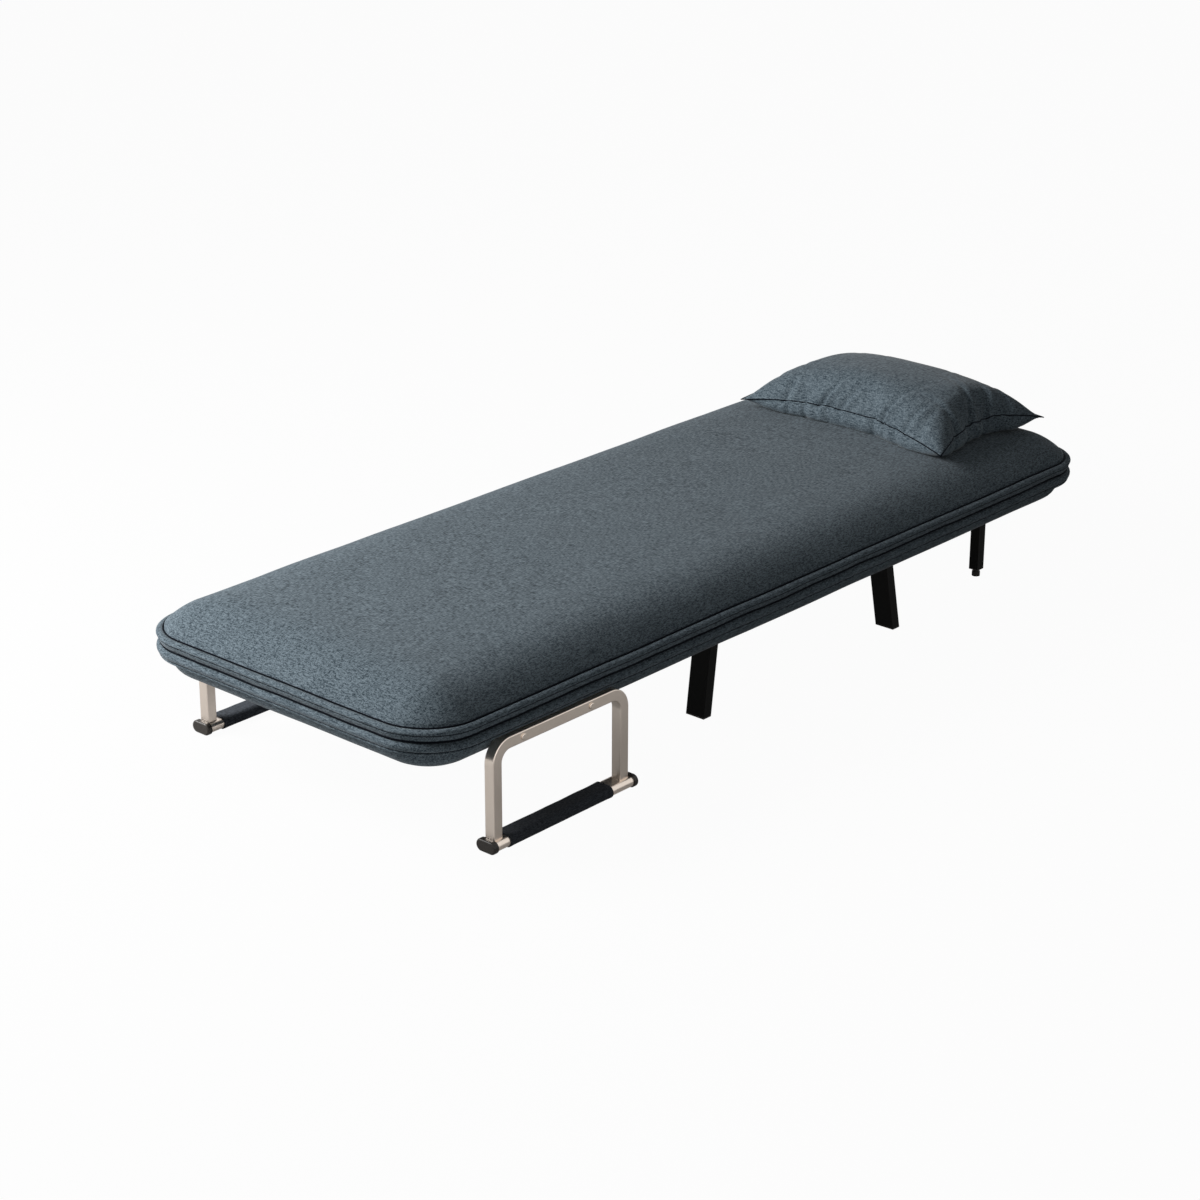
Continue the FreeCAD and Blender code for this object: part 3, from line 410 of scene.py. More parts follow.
# %% The finishes
METAL = {"Metallic": 1.0}
PAINT = {"Specular IOR Level": 0.09}
PLASTIC = {"Specular IOR Level": 0.30}
finishes = {
    "cover_fabric": fabric("cover_fabric", (0.020, 0.032, 0.042, 1), (0.146, 0.186, 0.214, 1),
                           0.12, 0.95),
    "pillow_fabric": fabric("pillow_fabric", (0.028, 0.043, 0.056, 1), (0.165, 0.208, 0.238, 1),
                            0.12, 0.8, 460.0, 0.0004),
    "sleeve_fabric": fabric("sleeve_fabric", (0.016, 0.019, 0.024, 1), (0.064, 0.074, 0.088, 1),
                            0.08, 0.8, 700.0, 0.0003),
    "frame_steel": grained("frame_steel", (0.020, 0.020, 0.022, 1), 0.45, PAINT),
    "webbing": fabric("webbing", (0.006, 0.006, 0.007, 1), (0.020, 0.020, 0.022, 1), 0.05),
    "black_steel": grained("black_steel", (0.005, 0.005, 0.0045, 1), 0.42, PAINT, 0.12, 1400.0),
    "satin_metal": grained("satin_metal", (0.74, 0.65, 0.57, 1), 0.30, METAL, 0.06, 900.0,
                           0.08, 0.05, 0.000006),
    "hinge_steel": grained("hinge_steel", (0.48, 0.49, 0.50, 1), 0.36, METAL, relief=0.000015),
    "black_plastic": grained("black_plastic", (0.026, 0.022, 0.019, 1), 0.38, PLASTIC, 0.15, 1100.0),
}
# Dark seam thread; the same dark material on the cord in the groove between the rolls is painted
# shade.
thread = grained("seam_thread_and_groove_shade", (0.0035, 0.005, 0.008, 1), 0.85, {"Specular IOR Level": 0.05})
dust_cover = fabric("dust_cover", (0.006, 0.006, 0.007, 1), (0.018, 0.018, 0.020, 1), 0.03,
                    0.7, 1100.0, 0.0002)

for row in frame["record"]["subparts"]:
    node = frame["nodes"][row["node"]]
    node.data.materials.clear()
    node.data.materials.append(finishes[row["material_slot"]])

# %% [markdown]
# ## Mattress covers
# The mattress is a topper with one side roll over a base with another, and a welt seam where the
# crowned top starts. Both are drawn as rings: the bed's outline, drawn in a little further at each
# height, like contour lines. The middle is filled with a grid whose edge has as many points as a
# ring, so the whole skin is even quads that bend well at the hinges. The topper's side holds a
# tucked strip, a soft lip seam above it and a narrow roll. Dark thread cords lie in the seams, and a
# dark cord in the groove between the two rolls is painted shade.

# %% Mattress sizes
half_length = 0.910
half_width = 0.350
corner_radius = 0.109
smallest_corner = 0.025
underside = 0.152
seam_height = 0.198
groove_height = 0.2135
welt_height = 0.236
roll_outset = 0.010
crown_rise = 0.050
crown_edge = 0.150
crown_power = 3.0
crown_bulge = 0.005
side_cells = 160
end_cells = 48
corner_cells = 16

# %% Rings


def corner_arc(cx, cy, radius, start_deg, cells):
    """Points of a quarter arc, without its last point."""
    steps = np.radians(start_deg + 90.0 * np.arange(cells) / cells)
    return np.stack([cx + radius * np.cos(steps), cy + radius * np.sin(steps)], 1)


def straight(start, end, cells):
    """Points of a straight run, without its last point."""
    share = (np.arange(cells) / cells)[:, None]
    return np.asarray(start) * (1 - share) + np.asarray(end) * share


def outline(inset):
    """The bed's outline drawn in by inset, counter-clockwise from a corner's middle."""
    hx = half_width - inset
    hy = half_length - inset
    radius = max(corner_radius - inset, smallest_corner)
    x = hx - radius
    y = hy - radius
    parts = [corner_arc(x, -y, radius, -90, corner_cells), straight((hx, -y), (hx, y), side_cells),
             corner_arc(x, y, radius, 0, corner_cells), straight((x, hy), (-x, hy), end_cells),
             corner_arc(-x, y, radius, 90, corner_cells), straight((-hx, y), (-hx, -y), side_cells),
             corner_arc(-x, -y, radius, 180, corner_cells), straight((-x, -hy), (x, -hy), end_cells)]
    return np.roll(np.concatenate(parts), -corner_cells // 2, axis=0)


def grid_inside(ring):
    """Grid points inside a ring, as a blend of its four sides, with the ring as their edge."""
    across = end_cells + corner_cells
    along = side_cells + corner_cells
    right = ring[:along + 1]
    top = ring[along:along + across + 1][::-1]
    left = ring[along + across:2 * along + across + 1][::-1]
    bottom = np.concatenate([ring[2 * along + across:], ring[:1]])
    u = np.linspace(0, 1, across + 1)[None, :, None]
    v = np.linspace(0, 1, along + 1)[:, None, None]
    sides = (1 - u) * left[:, None] + u * right[:, None]
    ends = (1 - v) * bottom[None] + v * top[None]
    corners = ((1 - u) * (1 - v) * bottom[0] + u * (1 - v) * bottom[-1]
               + (1 - u) * v * top[0] + u * v * top[-1])
    return sides + ends - corners


print("points in a ring:", len(outline(0.0)))

# %% Heights


def crown_edge_height(distance):
    """How far the crowned top has risen at a distance inside the welt."""
    share = np.clip(np.asarray(distance, float) / crown_edge, 0, 1)
    return crown_rise * (1 - (1 - share) ** crown_power)


def crown_top(x, y, edge):
    """Height of the top face, with a slight bulge along the middle."""
    across = np.clip(1 - (x / (half_width - roll_outset)) ** 2, 0, 1)
    along = np.clip(1 - (y / (half_length - roll_outset)) ** 6, 0, 1)
    return welt_height + edge + crown_bulge * across * along


def roll_profile(low, high, low_inset, high_inset, step_deg=15):
    """Inset and height of one side roll, from its lower seam to its upper one."""
    levels = []
    for angle_deg in range(-90, 91, step_deg):
        angle = math.radians(angle_deg)
        tuck = low_inset if angle_deg < 0 else high_inset
        middle = (low + high) / 2
        levels.append((tuck * (1 - math.cos(angle)), middle + (high - low) / 2 * math.sin(angle)))
    return levels


# %% Skin from rings


def ring_quads(first, second, count):
    """Quads between two closed rings of points."""
    quads = []
    for i in range(count):
        j = (i + 1) % count
        quads.append((first + i, first + j, second + j, second + i))
    return quads


class Skin:
    """Points and faces of one closed cover, with a material number for each face."""

    def __init__(self):
        self.points = []
        self.faces = []
        self.finish = []

    def add_points(self, rows):
        start = len(self.points)
        self.points.extend([tuple(float(c) for c in row) for row in rows])
        return start

    def add_face(self, corners, finish=0):
        self.faces.append(corners)
        self.finish.append(finish)

    def bridge(self, first, second, count, finish=0):
        """A band of faces between two closed rings."""
        for quad in ring_quads(first, second, count):
            self.add_face(quad, finish)

    def fill(self, ring_start, ring_points, heights, finish=0, downward=False):
        """A grid of quads that closes a ring."""
        grid = grid_inside(ring_points)
        rows, columns = grid.shape[:2]
        count = len(ring_points)
        index = np.zeros((rows, columns), int)
        inner = np.dstack([grid[1:-1, 1:-1], heights(grid[1:-1, 1:-1])]).reshape(-1, 3)
        index[1:-1, 1:-1] = (self.add_points(inner)
                             + np.arange(len(inner)).reshape(rows - 2, columns - 2))
        along = rows - 1
        across = columns - 1
        for k in range(rows):
            index[k, -1] = ring_start + k
            index[k, 0] = ring_start + (2 * along + across - k) % count
        for k in range(columns):
            index[-1, k] = ring_start + along + across - k
            index[0, k] = ring_start + (2 * along + across + k) % count
        for r in range(along):
            for c in range(across):
                quad = (index[r, c], index[r, c + 1], index[r + 1, c + 1], index[r + 1, c])
                self.add_face(quad[::-1] if downward else quad, finish)

    def seam_cord(self, inset, height, radius, finish=1, sides=6):
        """A thin dark cord along a ring of the cover: thread in a seam, or painted shade in the groove
        between the rolls.
        """
        starts = []
        for k in range(sides):
            angle = 2 * math.pi * k / sides
            ring = outline(inset + radius * math.cos(angle))
            z = np.full(len(ring), height + radius * math.sin(angle))
            starts.append(self.add_points(np.column_stack([ring, z])))
        for k in range(sides):
            self.bridge(starts[(k + 1) % sides], starts[k], len(ring), finish)


def stack(skin, levels):
    """Rings at each (inset, height), bridged from the bottom up. Returns the ends' starts."""
    starts = []
    for inset, height in levels:
        ring = outline(inset)
        z = height(ring[:, 0], ring[:, 1]) if callable(height) else np.full(len(ring), height)
        starts.append(skin.add_points(np.column_stack([ring, z])))
    for low, high in zip(starts, starts[1:]):
        skin.bridge(low, high, len(ring))
    return starts[0], starts[-1]


# %% Topper skin
# Rows of a side table are an inset and a rise above the level that the table is named after.
layer_half_gap = 0.00015
topper_floor_inset = 0.060
shelf_inset = 0.030
groove_inset = 0.0090
lip_seam_height = 0.2275
strip_side = ((groove_inset, 0.0003), (0.0072, 0.0022), (0.0052, 0.0052), (0.0035, 0.0086),
              (0.0022, 0.0115))
lip_side = ((0.0018, -0.0010), (0.0030, 0.0), (0.0010, 0.0012), (0.0002, 0.0028),
            (0.0006, 0.0046), (0.0028, 0.0066))
roll_shoulder = (0.0062, -0.0006)
welt_notch = ((-0.0006, 0.0), (0.0012, -0.0012), (0.0040, -0.0004))
crown_shares = (0.030, 0.05, 0.075, 0.11, 0.15, 0.20, 0.26, 0.33, 0.41, 0.50, 0.60, 0.72, 0.86,
                1.0)
welt_cord = (roll_outset + 0.0022, welt_height + 0.0004, 0.0014)
lip_cord = (0.0024, lip_seam_height, 0.0008)
# Painted shade: a dark cord in the groove between the two rolls stands in for the groove's shadow.
groove_shade_cord = (0.0072, groove_height + 0.0022, 0.0021)


def crown_level(distance):
    """Inset and height function of the crown's ring at a distance inside the welt."""
    edge = float(crown_edge_height(distance))
    return roll_outset + distance, lambda x, y: crown_top(x, y, edge)


def topper_skin():
    """The topper: a tucked strip, a narrow roll above a soft seam, the welt and the crown."""
    skin = Skin()
    bottom = groove_height + layer_half_gap
    levels = [(topper_floor_inset, bottom), (shelf_inset, bottom), (groove_inset + 0.002, bottom)]
    levels += [(inset, bottom + rise) for inset, rise in strip_side]
    levels += [(inset, lip_seam_height + rise) for inset, rise in lip_side]
    levels += [(roll_shoulder[0], welt_height + roll_shoulder[1])]
    levels += [(roll_outset + inset, welt_height + rise) for inset, rise in welt_notch]
    levels += [crown_level(crown_edge * share) for share in crown_shares]
    low, high = stack(skin, levels)
    skin.fill(low, outline(levels[0][0]), lambda p: np.full(p.shape[:2], bottom), downward=True)
    edge = float(crown_edge_height(crown_edge))
    skin.fill(high, outline(levels[-1][0]), lambda p: crown_top(p[..., 0], p[..., 1], edge))
    # The welt and lip cords are seam thread; the groove cord is painted shade.
    for cord in (welt_cord, lip_cord, groove_shade_cord):
        skin.seam_cord(*cord)
    return skin


topper = topper_skin()
print("topper:", len(topper.points), "points")

# %% Base skin
underside_edge = 0.072
underside_side = 0.023
shelf_height = 0.1885
seam_inset = 0.005
seat_face_bulge = 0.027
seat_face_edge = 0.180
tuck_step_deg = 10
base_lip = ((0.015, 0.1912), (0.0085, 0.1926), (0.0040, 0.1948), (0.0030, 0.1966),
            (0.0038, 0.1980), (0.0066, seam_height + 0.0008))
seat_face_shares = (0.1, 0.22, 0.36, 0.52, 0.68, 0.84, 1.0)
roll_foot_rise = 0.0012
roll_top_inset = 0.009
base_cord = (0.0048, seam_height + 0.0010, 0.0012)


def base_skin(crowned):
    """The base cushion. Its underside is crowned where it becomes the chair's seat."""
    skin = Skin()
    rise = shelf_height - underside
    under = []
    for angle_deg in range(0, 91, tuck_step_deg):
        angle = math.radians(angle_deg)
        inset = underside_edge - (underside_edge - underside_side) * math.sin(angle)
        under.append((inset, underside + rise * (1 - math.cos(angle))))
    under += base_lip
    deepest = 0.0
    if crowned:
        for share in seat_face_shares:
            deepest = seat_face_bulge * (1 - (1 - share) ** 2)
            under.insert(0, (underside_edge + seat_face_edge * share, underside - deepest))
    top = groove_height - layer_half_gap
    roll_foot = seam_height + roll_foot_rise
    levels = under + roll_profile(roll_foot, top, seam_inset, roll_top_inset)[1:]
    levels += [(shelf_inset, top), (topper_floor_inset, top)]
    low, high = stack(skin, levels)
    floor_height = underside - deepest
    skin.fill(low, outline(levels[0][0]), lambda p: np.full(p.shape[:2], floor_height),
              finish=0 if crowned else 2, downward=True)
    skin.fill(high, outline(levels[-1][0]), lambda p: np.full(p.shape[:2], top))
    skin.seam_cord(*base_cord)
    return skin


base = base_skin(False)
seat_face_base = base_skin(True)
print("base:", len(base.points), "points")

# %% [markdown]
# ## A sewn cover is never perfectly even
# Foam gives a little and seams pull. One slow, shared ripple moves the whole mattress by about a
# millimetre, so all the layers stay fitted to each other, and small puckers run up the crown from
# the welt seam and die out after a few centimetres. The vector noise of the ripple takes its
# offsets from the clock unless it gets a seed, so the seed comes first and every run is the same.

# %% Unevenness
ripple_seed = 1
ripple = 0.0014
ripple_scale = 6.5
ripple_height_share = 0.4
ripple_side_reach = 0.06
roll_wave = 0.0016
roll_wave_scale = 11.0
pucker = 0.00055
pucker_scale = 42.0
pucker_reach = 0.040
pucker_start = 0.010
roll_zone_inset = 0.02
noise.seed_set(ripple_seed)


def uneven(points):
    """Points moved by the slow ripple, on the rolls by a wave and on the crown by puckers."""
    moved = points.copy()
    for i, (x, y, z) in enumerate(points):
        slow = noise.noise_vector(Vector((x, y, z * ripple_height_share)) * ripple_scale)
        moved[i, 2] += ripple * slow.z
        edge = min(half_width - abs(x), half_length - abs(y))
        side = max(0.0, 1 - edge / ripple_side_reach)
        moved[i, 0] += ripple * slow.x * side
        moved[i, 1] += ripple * slow.y * side
        if seam_height - 0.004 < z < welt_height + 0.002 and edge < roll_zone_inset:
            wave = noise.noise(Vector((x, y, 2.1)) * roll_wave_scale)
            share = (z - seam_height) / (welt_height - seam_height)
            moved[i, 2] += roll_wave * wave * math.sin(math.pi * min(max(share, 0), 1))
        if z > welt_height + 0.001:
            fade = math.exp(-max(edge - roll_outset, 0) / pucker_reach)
            fade *= min(1.0, (edge - roll_outset) / pucker_start)
            wave = noise.noise(Vector((x, y, 0.3)) * pucker_scale)
            moved[i, 2] += pucker * wave * max(fade, 0)
    return moved


# %% [markdown]
# ## Cutting the covers at the hinges
# The bed folds at two lines. A real topper runs over both hinges and bends there, while the base
# is split. So the topper is cut into pieces with extra rows where it would bend: one runs from the
# seat over the reclining back, and two short ones lie at the flip hinge's links.

# %% Cutting, with extra rows where a cover would bend
flip_y = -0.260
recline_y = 0.400
flip_half_link = 0.01415
bend_half = 0.018
bend_step = 0.003
split_gap = 0.0003
cut_tolerance = 1e-6


def skin_object(name, skin, low_y, high_y, bend_lines, slots):
    """One cover between two planes, closed with flat ends, with extra rows where it bends."""
    mesh = bpy.data.meshes.new(name)
    points = uneven(np.array(skin.points))
    mesh.from_pydata([tuple(p) for p in points], [], skin.faces)
    for polygon, finish in zip(mesh.polygons, skin.finish):
        polygon.material_index = finish
        polygon.use_smooth = True
    work = bmesh.new()
    work.from_mesh(mesh)
    for line in bend_lines:
        for step in np.arange(-bend_half, bend_half + 0.0001, bend_step):
            geometry = work.verts[:] + work.edges[:] + work.faces[:]
            bmesh.ops.bisect_plane(work, geom=geometry, plane_co=(0, line + step, 0),
                                   plane_no=(0, 1, 0), dist=cut_tolerance)
    for plane_y, outward in ((low_y, -1), (high_y, 1)):
        if abs(plane_y) >= half_length + 0.01:
            continue
        geometry = work.verts[:] + work.edges[:] + work.faces[:]
        bmesh.ops.bisect_plane(work, geom=geometry, plane_co=(0, plane_y, 0),
                               plane_no=(0, outward, 0), clear_outer=True, dist=cut_tolerance)
        rim = [e for e in work.edges if e.is_boundary]
        made = bmesh.ops.holes_fill(work, edges=rim, sides=0)
        for edge in rim:
            edge.smooth = False
        for face in made["faces"]:
            face.smooth = False
            face.material_index = 0
    bmesh.ops.recalc_face_normals(work, faces=work.faces[:])
    work.to_mesh(mesh)
    work.free()
    for slot in slots:
        mesh.materials.append(slot)
    return new_object(name, mesh)


beyond = half_length + 0.05
# Slot 1 is the dark seam thread, which also paints the shade in the groove between the rolls.
cover_slots = [finishes["cover_fabric"], thread, dust_cover]
gap = split_gap / 2

# %% Topper pieces
fold_reach = 0.035
seat_pivot_y = flip_y + flip_half_link
foot_pivot_y = flip_y - flip_half_link

foot_topper = skin_object("foot_topper", topper, -beyond, flip_y - fold_reach, [], cover_slots)
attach(foot_topper, "foot_section")
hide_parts("foot_upper_pad")

foot_fold = skin_object("foot_fold_cover", topper, flip_y - fold_reach, flip_y,
                        [foot_pivot_y], cover_slots)
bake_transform(foot_fold)

seat_fold = skin_object("seat_fold_cover", topper, flip_y, flip_y + fold_reach,
                        [seat_pivot_y], cover_slots)
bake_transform(seat_fold)

seat_topper = skin_object("seat_and_back_topper", topper, flip_y + fold_reach, beyond,
                          [recline_y], cover_slots)
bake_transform(seat_topper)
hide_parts("seat_upper_pad", "back_upper_pad")

# %% Base pieces
foot_base = skin_object("foot_base_cushion", seat_face_base, -beyond, flip_y - gap, [], cover_slots)
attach(foot_base, "foot_section")
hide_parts("foot_lower_pad")
seat_base = skin_object("seat_base_cushion", base, flip_y + gap, recline_y - gap, [], cover_slots)
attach(seat_base, "seat_section")
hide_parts("seat_lower_pad")
back_base = skin_object("back_base_cushion", base, recline_y + gap, beyond, [], cover_slots)
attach(back_base, "back_section")
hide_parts("back_lower_pad")
for piece in (foot_topper, foot_fold, seat_fold, seat_topper, foot_base, seat_base, back_base):
    print(piece.name, len(piece.data.polygons), "faces")

# %% [markdown]
# ## Pillow
# A loose pillow is two panels sewn round their edge and stuffed. Cloth simulation makes it the way
# it is made: two flat panels share their edge, pressure blows them up, and the edge, which can't
# stretch, gathers into folds that run in from the seam.

# %% Pillow panels
pillow_length = 0.494
pillow_depth = 0.325
pillow_height = 0.102
pillow_centre = (0.020, 0.698)
pillow_turn_deg = -2.3
pillow_base = 0.2913
panel_length = 0.560
panel_depth = 0.390
panel_cells = (112, 78)
panel_start_swell = 0.012


def sewn_panels(swell):
    """Two panels that share their edge. Each point has its side (0 on the seam) and place."""
    nx, ny = panel_cells
    points = []
    faces = []
    places = []
    index = {}
    for side in (1, -1):
        for j in range(ny + 1):
            for i in range(nx + 1):
                on_edge = i in (0, nx) or j in (0, ny)
                if on_edge and side == -1:
                    index[side, i, j] = index[1, i, j]
                    continue
                u = 2 * i / nx - 1
                v = 2 * j / ny - 1
                lift = side * swell * (1 - u ** 4) * (1 - v ** 4)
                index[side, i, j] = len(points)
                points.append((u * panel_length / 2, v * panel_depth / 2, lift))
                places.append((0 if on_edge else side, u, v))
        for j in range(ny):
            for i in range(nx):
                quad = [index[side, i + a, j + b] for a, b in ((0, 0), (1, 0), (1, 1), (0, 1))]
                faces.append(quad if side == 1 else quad[::-1])
    return points, faces, np.array(places)


# %% Blow the panels up
pillow_frames = 30
cloth_settings = {"quality": 7, "mass": 0.25, "tension_stiffness": 18, "compression_stiffness": 18,
                  "shear_stiffness": 6, "bending_stiffness": 0.35, "air_damping": 2.0,
                  "use_pressure": True, "uniform_pressure_force": 5.0}


def blown_up(mesh):
    """The panels after a cloth simulation with pressure, as an array of points."""
    trial = new_object("pillow_trial", mesh)
    cloth = trial.modifiers.new("cloth", "CLOTH")
    for name, value in cloth_settings.items():
        setattr(cloth.settings, name, value)
    cloth.settings.effector_weights.gravity = 0.0
    cloth.point_cache.frame_end = pillow_frames
    scene = bpy.context.scene
    for step in range(1, pillow_frames + 1):
        scene.frame_set(step)
    ready = trial.evaluated_get(bpy.context.evaluated_depsgraph_get())
    points = np.array([v.co for v in ready.data.vertices])
    bpy.data.objects.remove(trial)
    scene.frame_set(1)
    return points


# %% [markdown]
# ## The pillow settles
# On the bed, the filling sinks. The upper panel keeps the form that the simulation gave it, and the
# lower one becomes a low wall that bulges from the seam down to the bed, with a flat face inside
# it. Where the seam gathers cloth, short folds run up and down from it.

# %% Settling helpers
seam_rise = 0.034
tip_drop = 0.020
wall_slack = 1.20
wall_bulge = 0.0060
tip_power = 2.5
evening_rounds = 34
evening_share = 0.8
filling_slope = 0.07
filling_u = 0.3
filling_v = 0.5


def seam_level(u, v):
    """Height of the seam above the bed: high at the sides' middles and low at the four tips."""
    return seam_rise - tip_drop * np.abs(u * v) ** tip_power


def read_panel(grid, u, v):
    """Value of a grid over the upper panel at places u and v, between -1 and 1."""
    ny, nx = grid.shape[0] - 1, grid.shape[1] - 1
    gx = np.clip((u + 1) / 2 * nx, 0, nx - 1e-6)
    gy = np.clip((v + 1) / 2 * ny, 0, ny - 1e-6)
    i = gx.astype(int)
    j = gy.astype(int)
    a = gx - i
    b = gy - j
    low_row = grid[j, i] * (1 - a) + grid[j, i + 1] * a
    high_row = grid[j + 1, i] * (1 - a) + grid[j + 1, i + 1] * a
    return low_row * (1 - b) + high_row * b


def evened(grid):
    """The grid with its small dents worked out by averaging neighbours; its edge keeps still."""
    grid = grid.copy()
    for _ in range(evening_rounds):
        mean = (grid[:-2, 1:-1] + grid[2:, 1:-1] + grid[1:-1, :-2] + grid[1:-1, 2:]) / 4
        grid[1:-1, 1:-1] += evening_share * (mean - grid[1:-1, 1:-1])
    return grid


def drawn_in(place, half, wall):
    """Place on the flat face after the wall has used up its share of the panel."""
    edge = (1 - np.abs(place)) * half
    return np.sign(place) * (1 - np.clip((edge - wall) / (half - wall), 0, 1))


# %% Folds at the seam
fold_depth = 0.0150
fold_width = 0.0078
fold_reach_up = 0.055
ridge_height = 0.55
ridge_offset = 1.7
fold_fade_start = -0.004
fold_fade_length = 0.012
fold_outward = 0.75
fold_upward = 0.65
corner_start = 0.42
corner_length = 0.48
corner_power = 0.8
front_folds = ((-0.62, 0.5, 0.10), (-0.30, 1.0, 0.35), (-0.12, 0.6, 0.40), (0.30, 1.0, 0.25),
               (0.58, 0.9, 0.10), (0.76, 0.5, -0.2))
side_folds = ((-0.48, 0.6, 0.1), (-0.12, 1.0, 0.35), (0.22, 0.9, 0.30), (0.55, 0.6, 0.0))
hidden_folds = ((-0.6, 0.3, 0.1), (-0.2, 0.35, -0.2), (0.25, 0.4, 0.2), (0.65, 0.3, 0.0))


def fold_depths(along, edge, folds):
    """A valley and a ridge beside it for each fold. along and edge are distances in metres."""
    total = np.zeros_like(along)
    for centre, strength, slant in folds:
        q = (along - centre - slant * edge) / fold_width
        shape = ridge_height * np.exp(-(q - ridge_offset) ** 2) - np.exp(-q ** 2)
        total += strength * fold_depth * shape
    fade = np.clip((edge - fold_fade_start) / fold_fade_length, 0, 1)
    return total * np.exp(-edge / fold_reach_up) * fade


# %% Pillow shape


def settled(points, places):
    """The blown-up pillow at its real size, with a flat face where it lies on the bed."""
    side, u, v = places.T
    nx, ny = panel_cells
    middle = (points.min(0) + points.max(0)) / 2
    size = points.max(0) - points.min(0)
    x = (points[:, 0] - middle[0]) * pillow_length / size[0]
    y = (points[:, 1] - middle[1]) * pillow_depth / size[1]
    z = points[:, 2] * (pillow_height - seam_rise) / points[:, 2].max()
    z *= 1 + filling_slope * (u - filling_u - filling_v * v)
    z = np.maximum(z + seam_level(u, v), 0.0)
    upper = (side >= 0).nonzero()[0]
    grids = [evened(axis[upper].reshape(ny + 1, nx + 1)) for axis in (x, y, z)]
    for axis, grid in zip((x, y, z), grids):
        axis[upper] = grid.ravel()
    half_u = panel_length / 2
    half_v = panel_depth / 2
    edge_u = (1 - np.abs(u)) * half_u
    edge_v = (1 - np.abs(v)) * half_v
    edge = np.minimum(edge_u, edge_v)
    wall = wall_slack * seam_level(u, v)
    new_u = drawn_in(u, half_u, wall)
    new_v = drawn_in(v, half_v, wall)
    share = np.clip(edge / wall, 0, 1)
    wall_x = read_panel(grids[0], new_u, new_v)
    wall_y = read_panel(grids[1], new_u, new_v)
    wall_z = read_panel(grids[2], new_u, new_v) * (share < 1) * (1 - share)
    bulge = wall_bulge * np.sin(math.pi * share)
    wall_x += np.sign(u) * bulge * (edge_u < edge_v)
    wall_y += np.sign(v) * bulge * (edge_v <= edge_u)
    corner = np.clip((np.abs(u * v) - corner_start) / corner_length, 0, 1) ** corner_power
    lower = side < 0
    x = np.where(lower, wall_x * (1 - corner) + x * corner, x)
    y = np.where(lower, wall_y * (1 - corner) + y * corner, y)
    z = np.where(lower, wall_z * (1 - corner) + z * corner, z)
    calm = (1 - corner) * (1 - share * lower)
    sides = ((front_folds, v < 0, edge_v, u * half_u, half_u, (0, -1)),
             (side_folds, u > 0, edge_u, v * half_v, half_v, (1, 0)),
             (hidden_folds, v > 0, edge_v, u * half_u, half_u, (0, 1)),
             (hidden_folds, u < 0, edge_u, v * half_v, half_v, (-1, 0)))
    for folds, here, distance, along, half_side, outward in sides:
        placed = [(centre * half_side, strength, slant) for centre, strength, slant in folds]
        depth = fold_depths(along, distance, placed) * here * calm
        x += outward[0] * depth * fold_outward
        y += outward[1] * depth * fold_outward
        z = np.maximum(z + fold_upward * depth * (side >= 0), 0.0)
    turn = math.radians(pillow_turn_deg)
    placed_x = pillow_centre[0] + x * math.cos(turn) - y * math.sin(turn)
    placed_y = pillow_centre[1] + x * math.sin(turn) + y * math.cos(turn)
    return np.column_stack([placed_x, placed_y, z + pillow_base])


def seam_tube(shape, places, radius, sides=6):
    """Points and faces of the thread line that runs round the pillow on its seam."""
    on_seam = (places[:, 0] == 0).nonzero()[0]
    angle = np.arctan2(places[on_seam, 2], places[on_seam, 1])
    loop = shape[on_seam[np.argsort(angle)]]
    ahead = np.roll(loop, -1, axis=0) - np.roll(loop, 1, axis=0)
    ahead /= np.linalg.norm(ahead, axis=1)[:, None]
    outward = np.cross(ahead, (0, 0, 1))
    outward /= np.linalg.norm(outward, axis=1)[:, None]
    upward = np.cross(outward, ahead)
    points = []
    for k in range(sides):
        turn = 2 * math.pi * k / sides
        points.append(loop + radius * (math.cos(turn) * outward + math.sin(turn) * upward))
    count = len(loop)
    faces = []
    for k in range(sides):
        faces += ring_quads(k * count, (k + 1) % sides * count, count)
    return np.concatenate(points), faces


# %% Make the pillow
pillow_seam_radius = 0.0011
swell = panel_start_swell
panel_points, panel_faces, panel_places = sewn_panels(swell)
panel_mesh = bpy.data.meshes.new("pillow_panels")
panel_mesh.from_pydata(panel_points, [], panel_faces)
shape = blown_up(panel_mesh)
print("pillow before it settles:", np.round(shape.max(0) - shape.min(0), 3))
shape = settled(shape, panel_places)
tube_points, tube_faces = seam_tube(shape, panel_places, pillow_seam_radius)
tube_faces = [tuple(i + len(shape) for i in face) for face in tube_faces]
pillow_mesh = bpy.data.meshes.new("loose_pillow")
pillow_mesh.from_pydata(np.concatenate([shape, tube_points]).tolist(), [], panel_faces + tube_faces)
thread_share = [0] * len(panel_faces) + [1] * len(tube_faces)
pillow_mesh.materials.append(finishes["pillow_fabric"])
pillow_mesh.materials.append(thread)
pillow_mesh.polygons.foreach_set("material_index", thread_share)
pillow_mesh.polygons.foreach_set("use_smooth", [True] * len(pillow_mesh.polygons))
pillow_mesh.update()
pillow = new_object("loose_pillow", pillow_mesh)
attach(pillow, "pillow")
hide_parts("pillow")
print("pillow top:", round(float(shape[:, 2].max()), 4))

# %% [markdown]
# ## Armrest sleeves
# Each armrest bar wears a thin padded sleeve, so that the arm rests on fabric. It is a flat-oval
# tube a little larger than the bar, hemmed at both ends.

# %% Sleeves
loop_centre_x = 0.3375
bar_width = 0.038
bar_height = 0.018
bar_centre_height = 0.011
sleeve_thickness = 0.0016
sleeve_front_y = -0.740
sleeve_rear_y = -0.498
hem_width = 0.006
hem_swell = 0.0003
sleeve_ripple_top = 0.0005
sleeve_ripple_below = 0.0001
sleeve_ripple_scale = (60, 45, 60)
sleeve_clearance = 0.0002
sleeve_rows = 90
hem_fold = 0.0015
hem_fade = 0.002


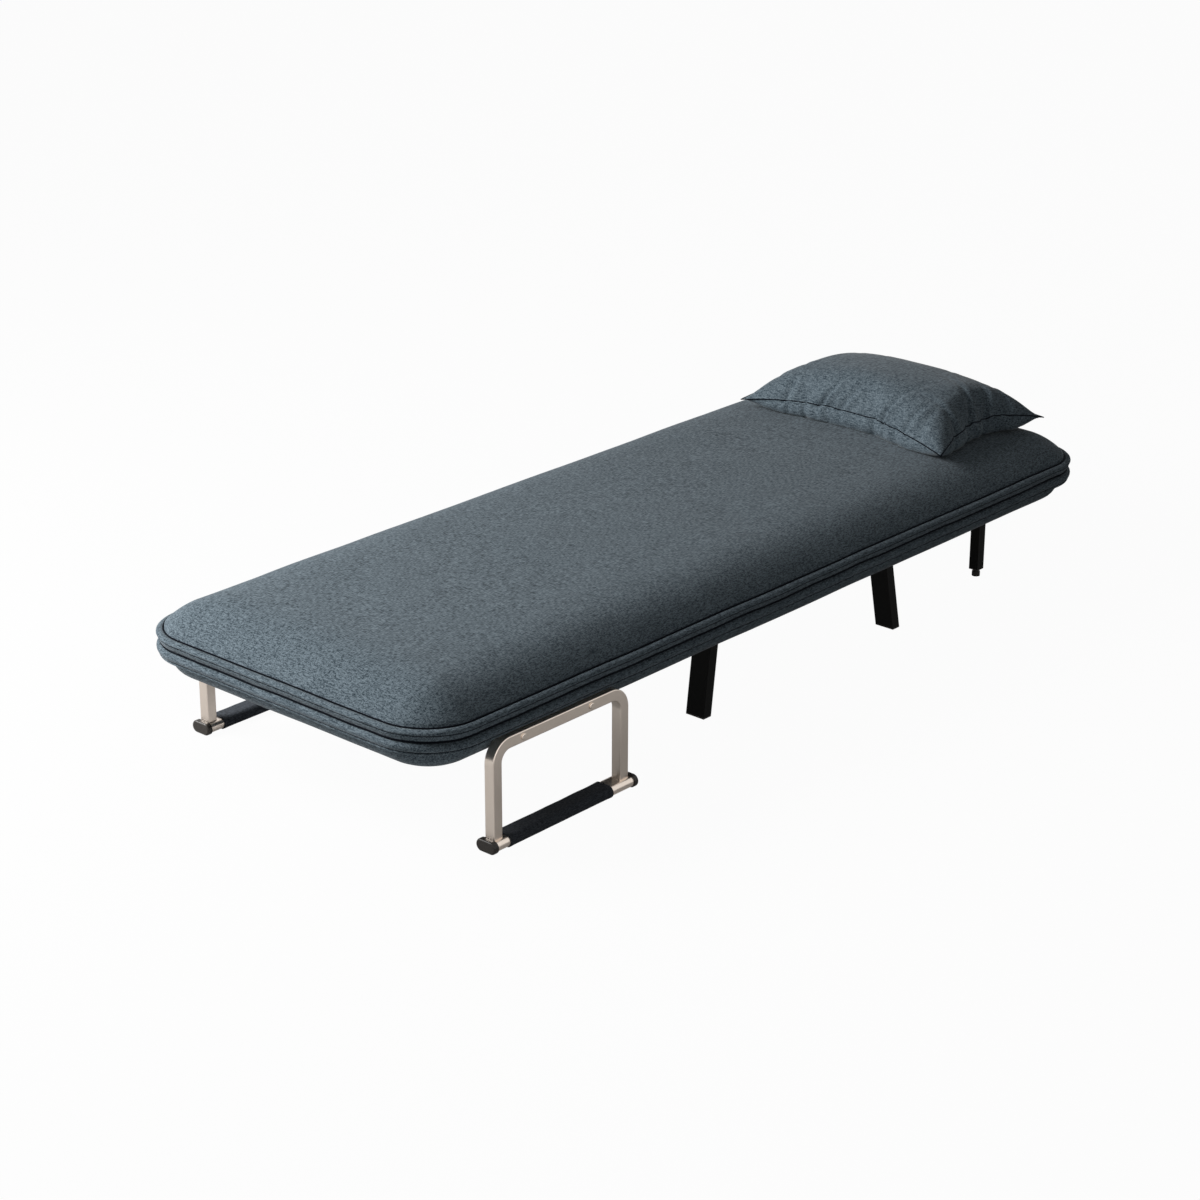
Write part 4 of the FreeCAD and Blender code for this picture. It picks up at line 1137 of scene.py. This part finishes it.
def oval(width, height, cells=64):
    """Points of a flat oval round the bar's middle, in X and Z."""
    radius = height / 2
    flat = width / 2 - radius
    points = []
    for k in range(cells):
        angle = 2 * math.pi * k / cells
        side = 1 if math.cos(angle) >= 0 else -1
        points.append((side * flat + radius * math.cos(angle), radius * math.sin(angle)))
    return points


def sleeve_object(name, side):
    """A hemmed sleeve on one armrest bar. side is +1 for the right and -1 for the left."""
    rows = [(sleeve_front_y, sleeve_clearance), (sleeve_front_y, sleeve_thickness + hem_swell)]
    body_rows = np.linspace(sleeve_front_y + hem_fold, sleeve_rear_y - hem_fold, sleeve_rows)
    for y in body_rows:
        end = min(y - sleeve_front_y, sleeve_rear_y - y)
        swell = hem_swell * (1 if end < hem_width else math.exp(-(end - hem_width) / hem_fade))
        rows.append((y, sleeve_thickness + swell))
    rows += [(sleeve_rear_y, sleeve_thickness + hem_swell), (sleeve_rear_y, sleeve_clearance)]
    points = []
    for y, out in rows:
        ring = oval(bar_width + 2 * out, bar_height + 2 * out)
        for x, z in ring:
            scale_x, scale_y, scale_z = sleeve_ripple_scale
            wave = noise.noise(Vector((x * scale_x, y * scale_y, z * scale_z + side)))
            ripple_size = sleeve_ripple_top if z > 0 else sleeve_ripple_below
            give = ripple_size * wave if out > 0.001 else 0.0
            length = math.hypot(x, z)
            grow = 1 + give / max(length, 0.005)
            points.append((side * loop_centre_x + x * grow, y, bar_centre_height + z * grow))
    count = len(ring)
    faces = []
    for r in range(len(rows) - 1):
        faces += ring_quads(r * count, (r + 1) * count, count)
    mesh = bpy.data.meshes.new(name)
    mesh.from_pydata(points, [], faces)
    mesh.polygons.foreach_set("use_smooth", [True] * len(faces))
    work = bmesh.new()
    work.from_mesh(mesh)
    bmesh.ops.recalc_face_normals(work, faces=work.faces[:])
    work.to_mesh(mesh)
    work.free()
    mesh.materials.append(finishes["sleeve_fabric"])
    return new_object(name, mesh)


for name, side in (("right", 1), ("left", -1)):
    sleeve = sleeve_object("sleeve_" + name, side)
    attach(sleeve, "foot_section")
    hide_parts("armrest_sleeve_" + name)
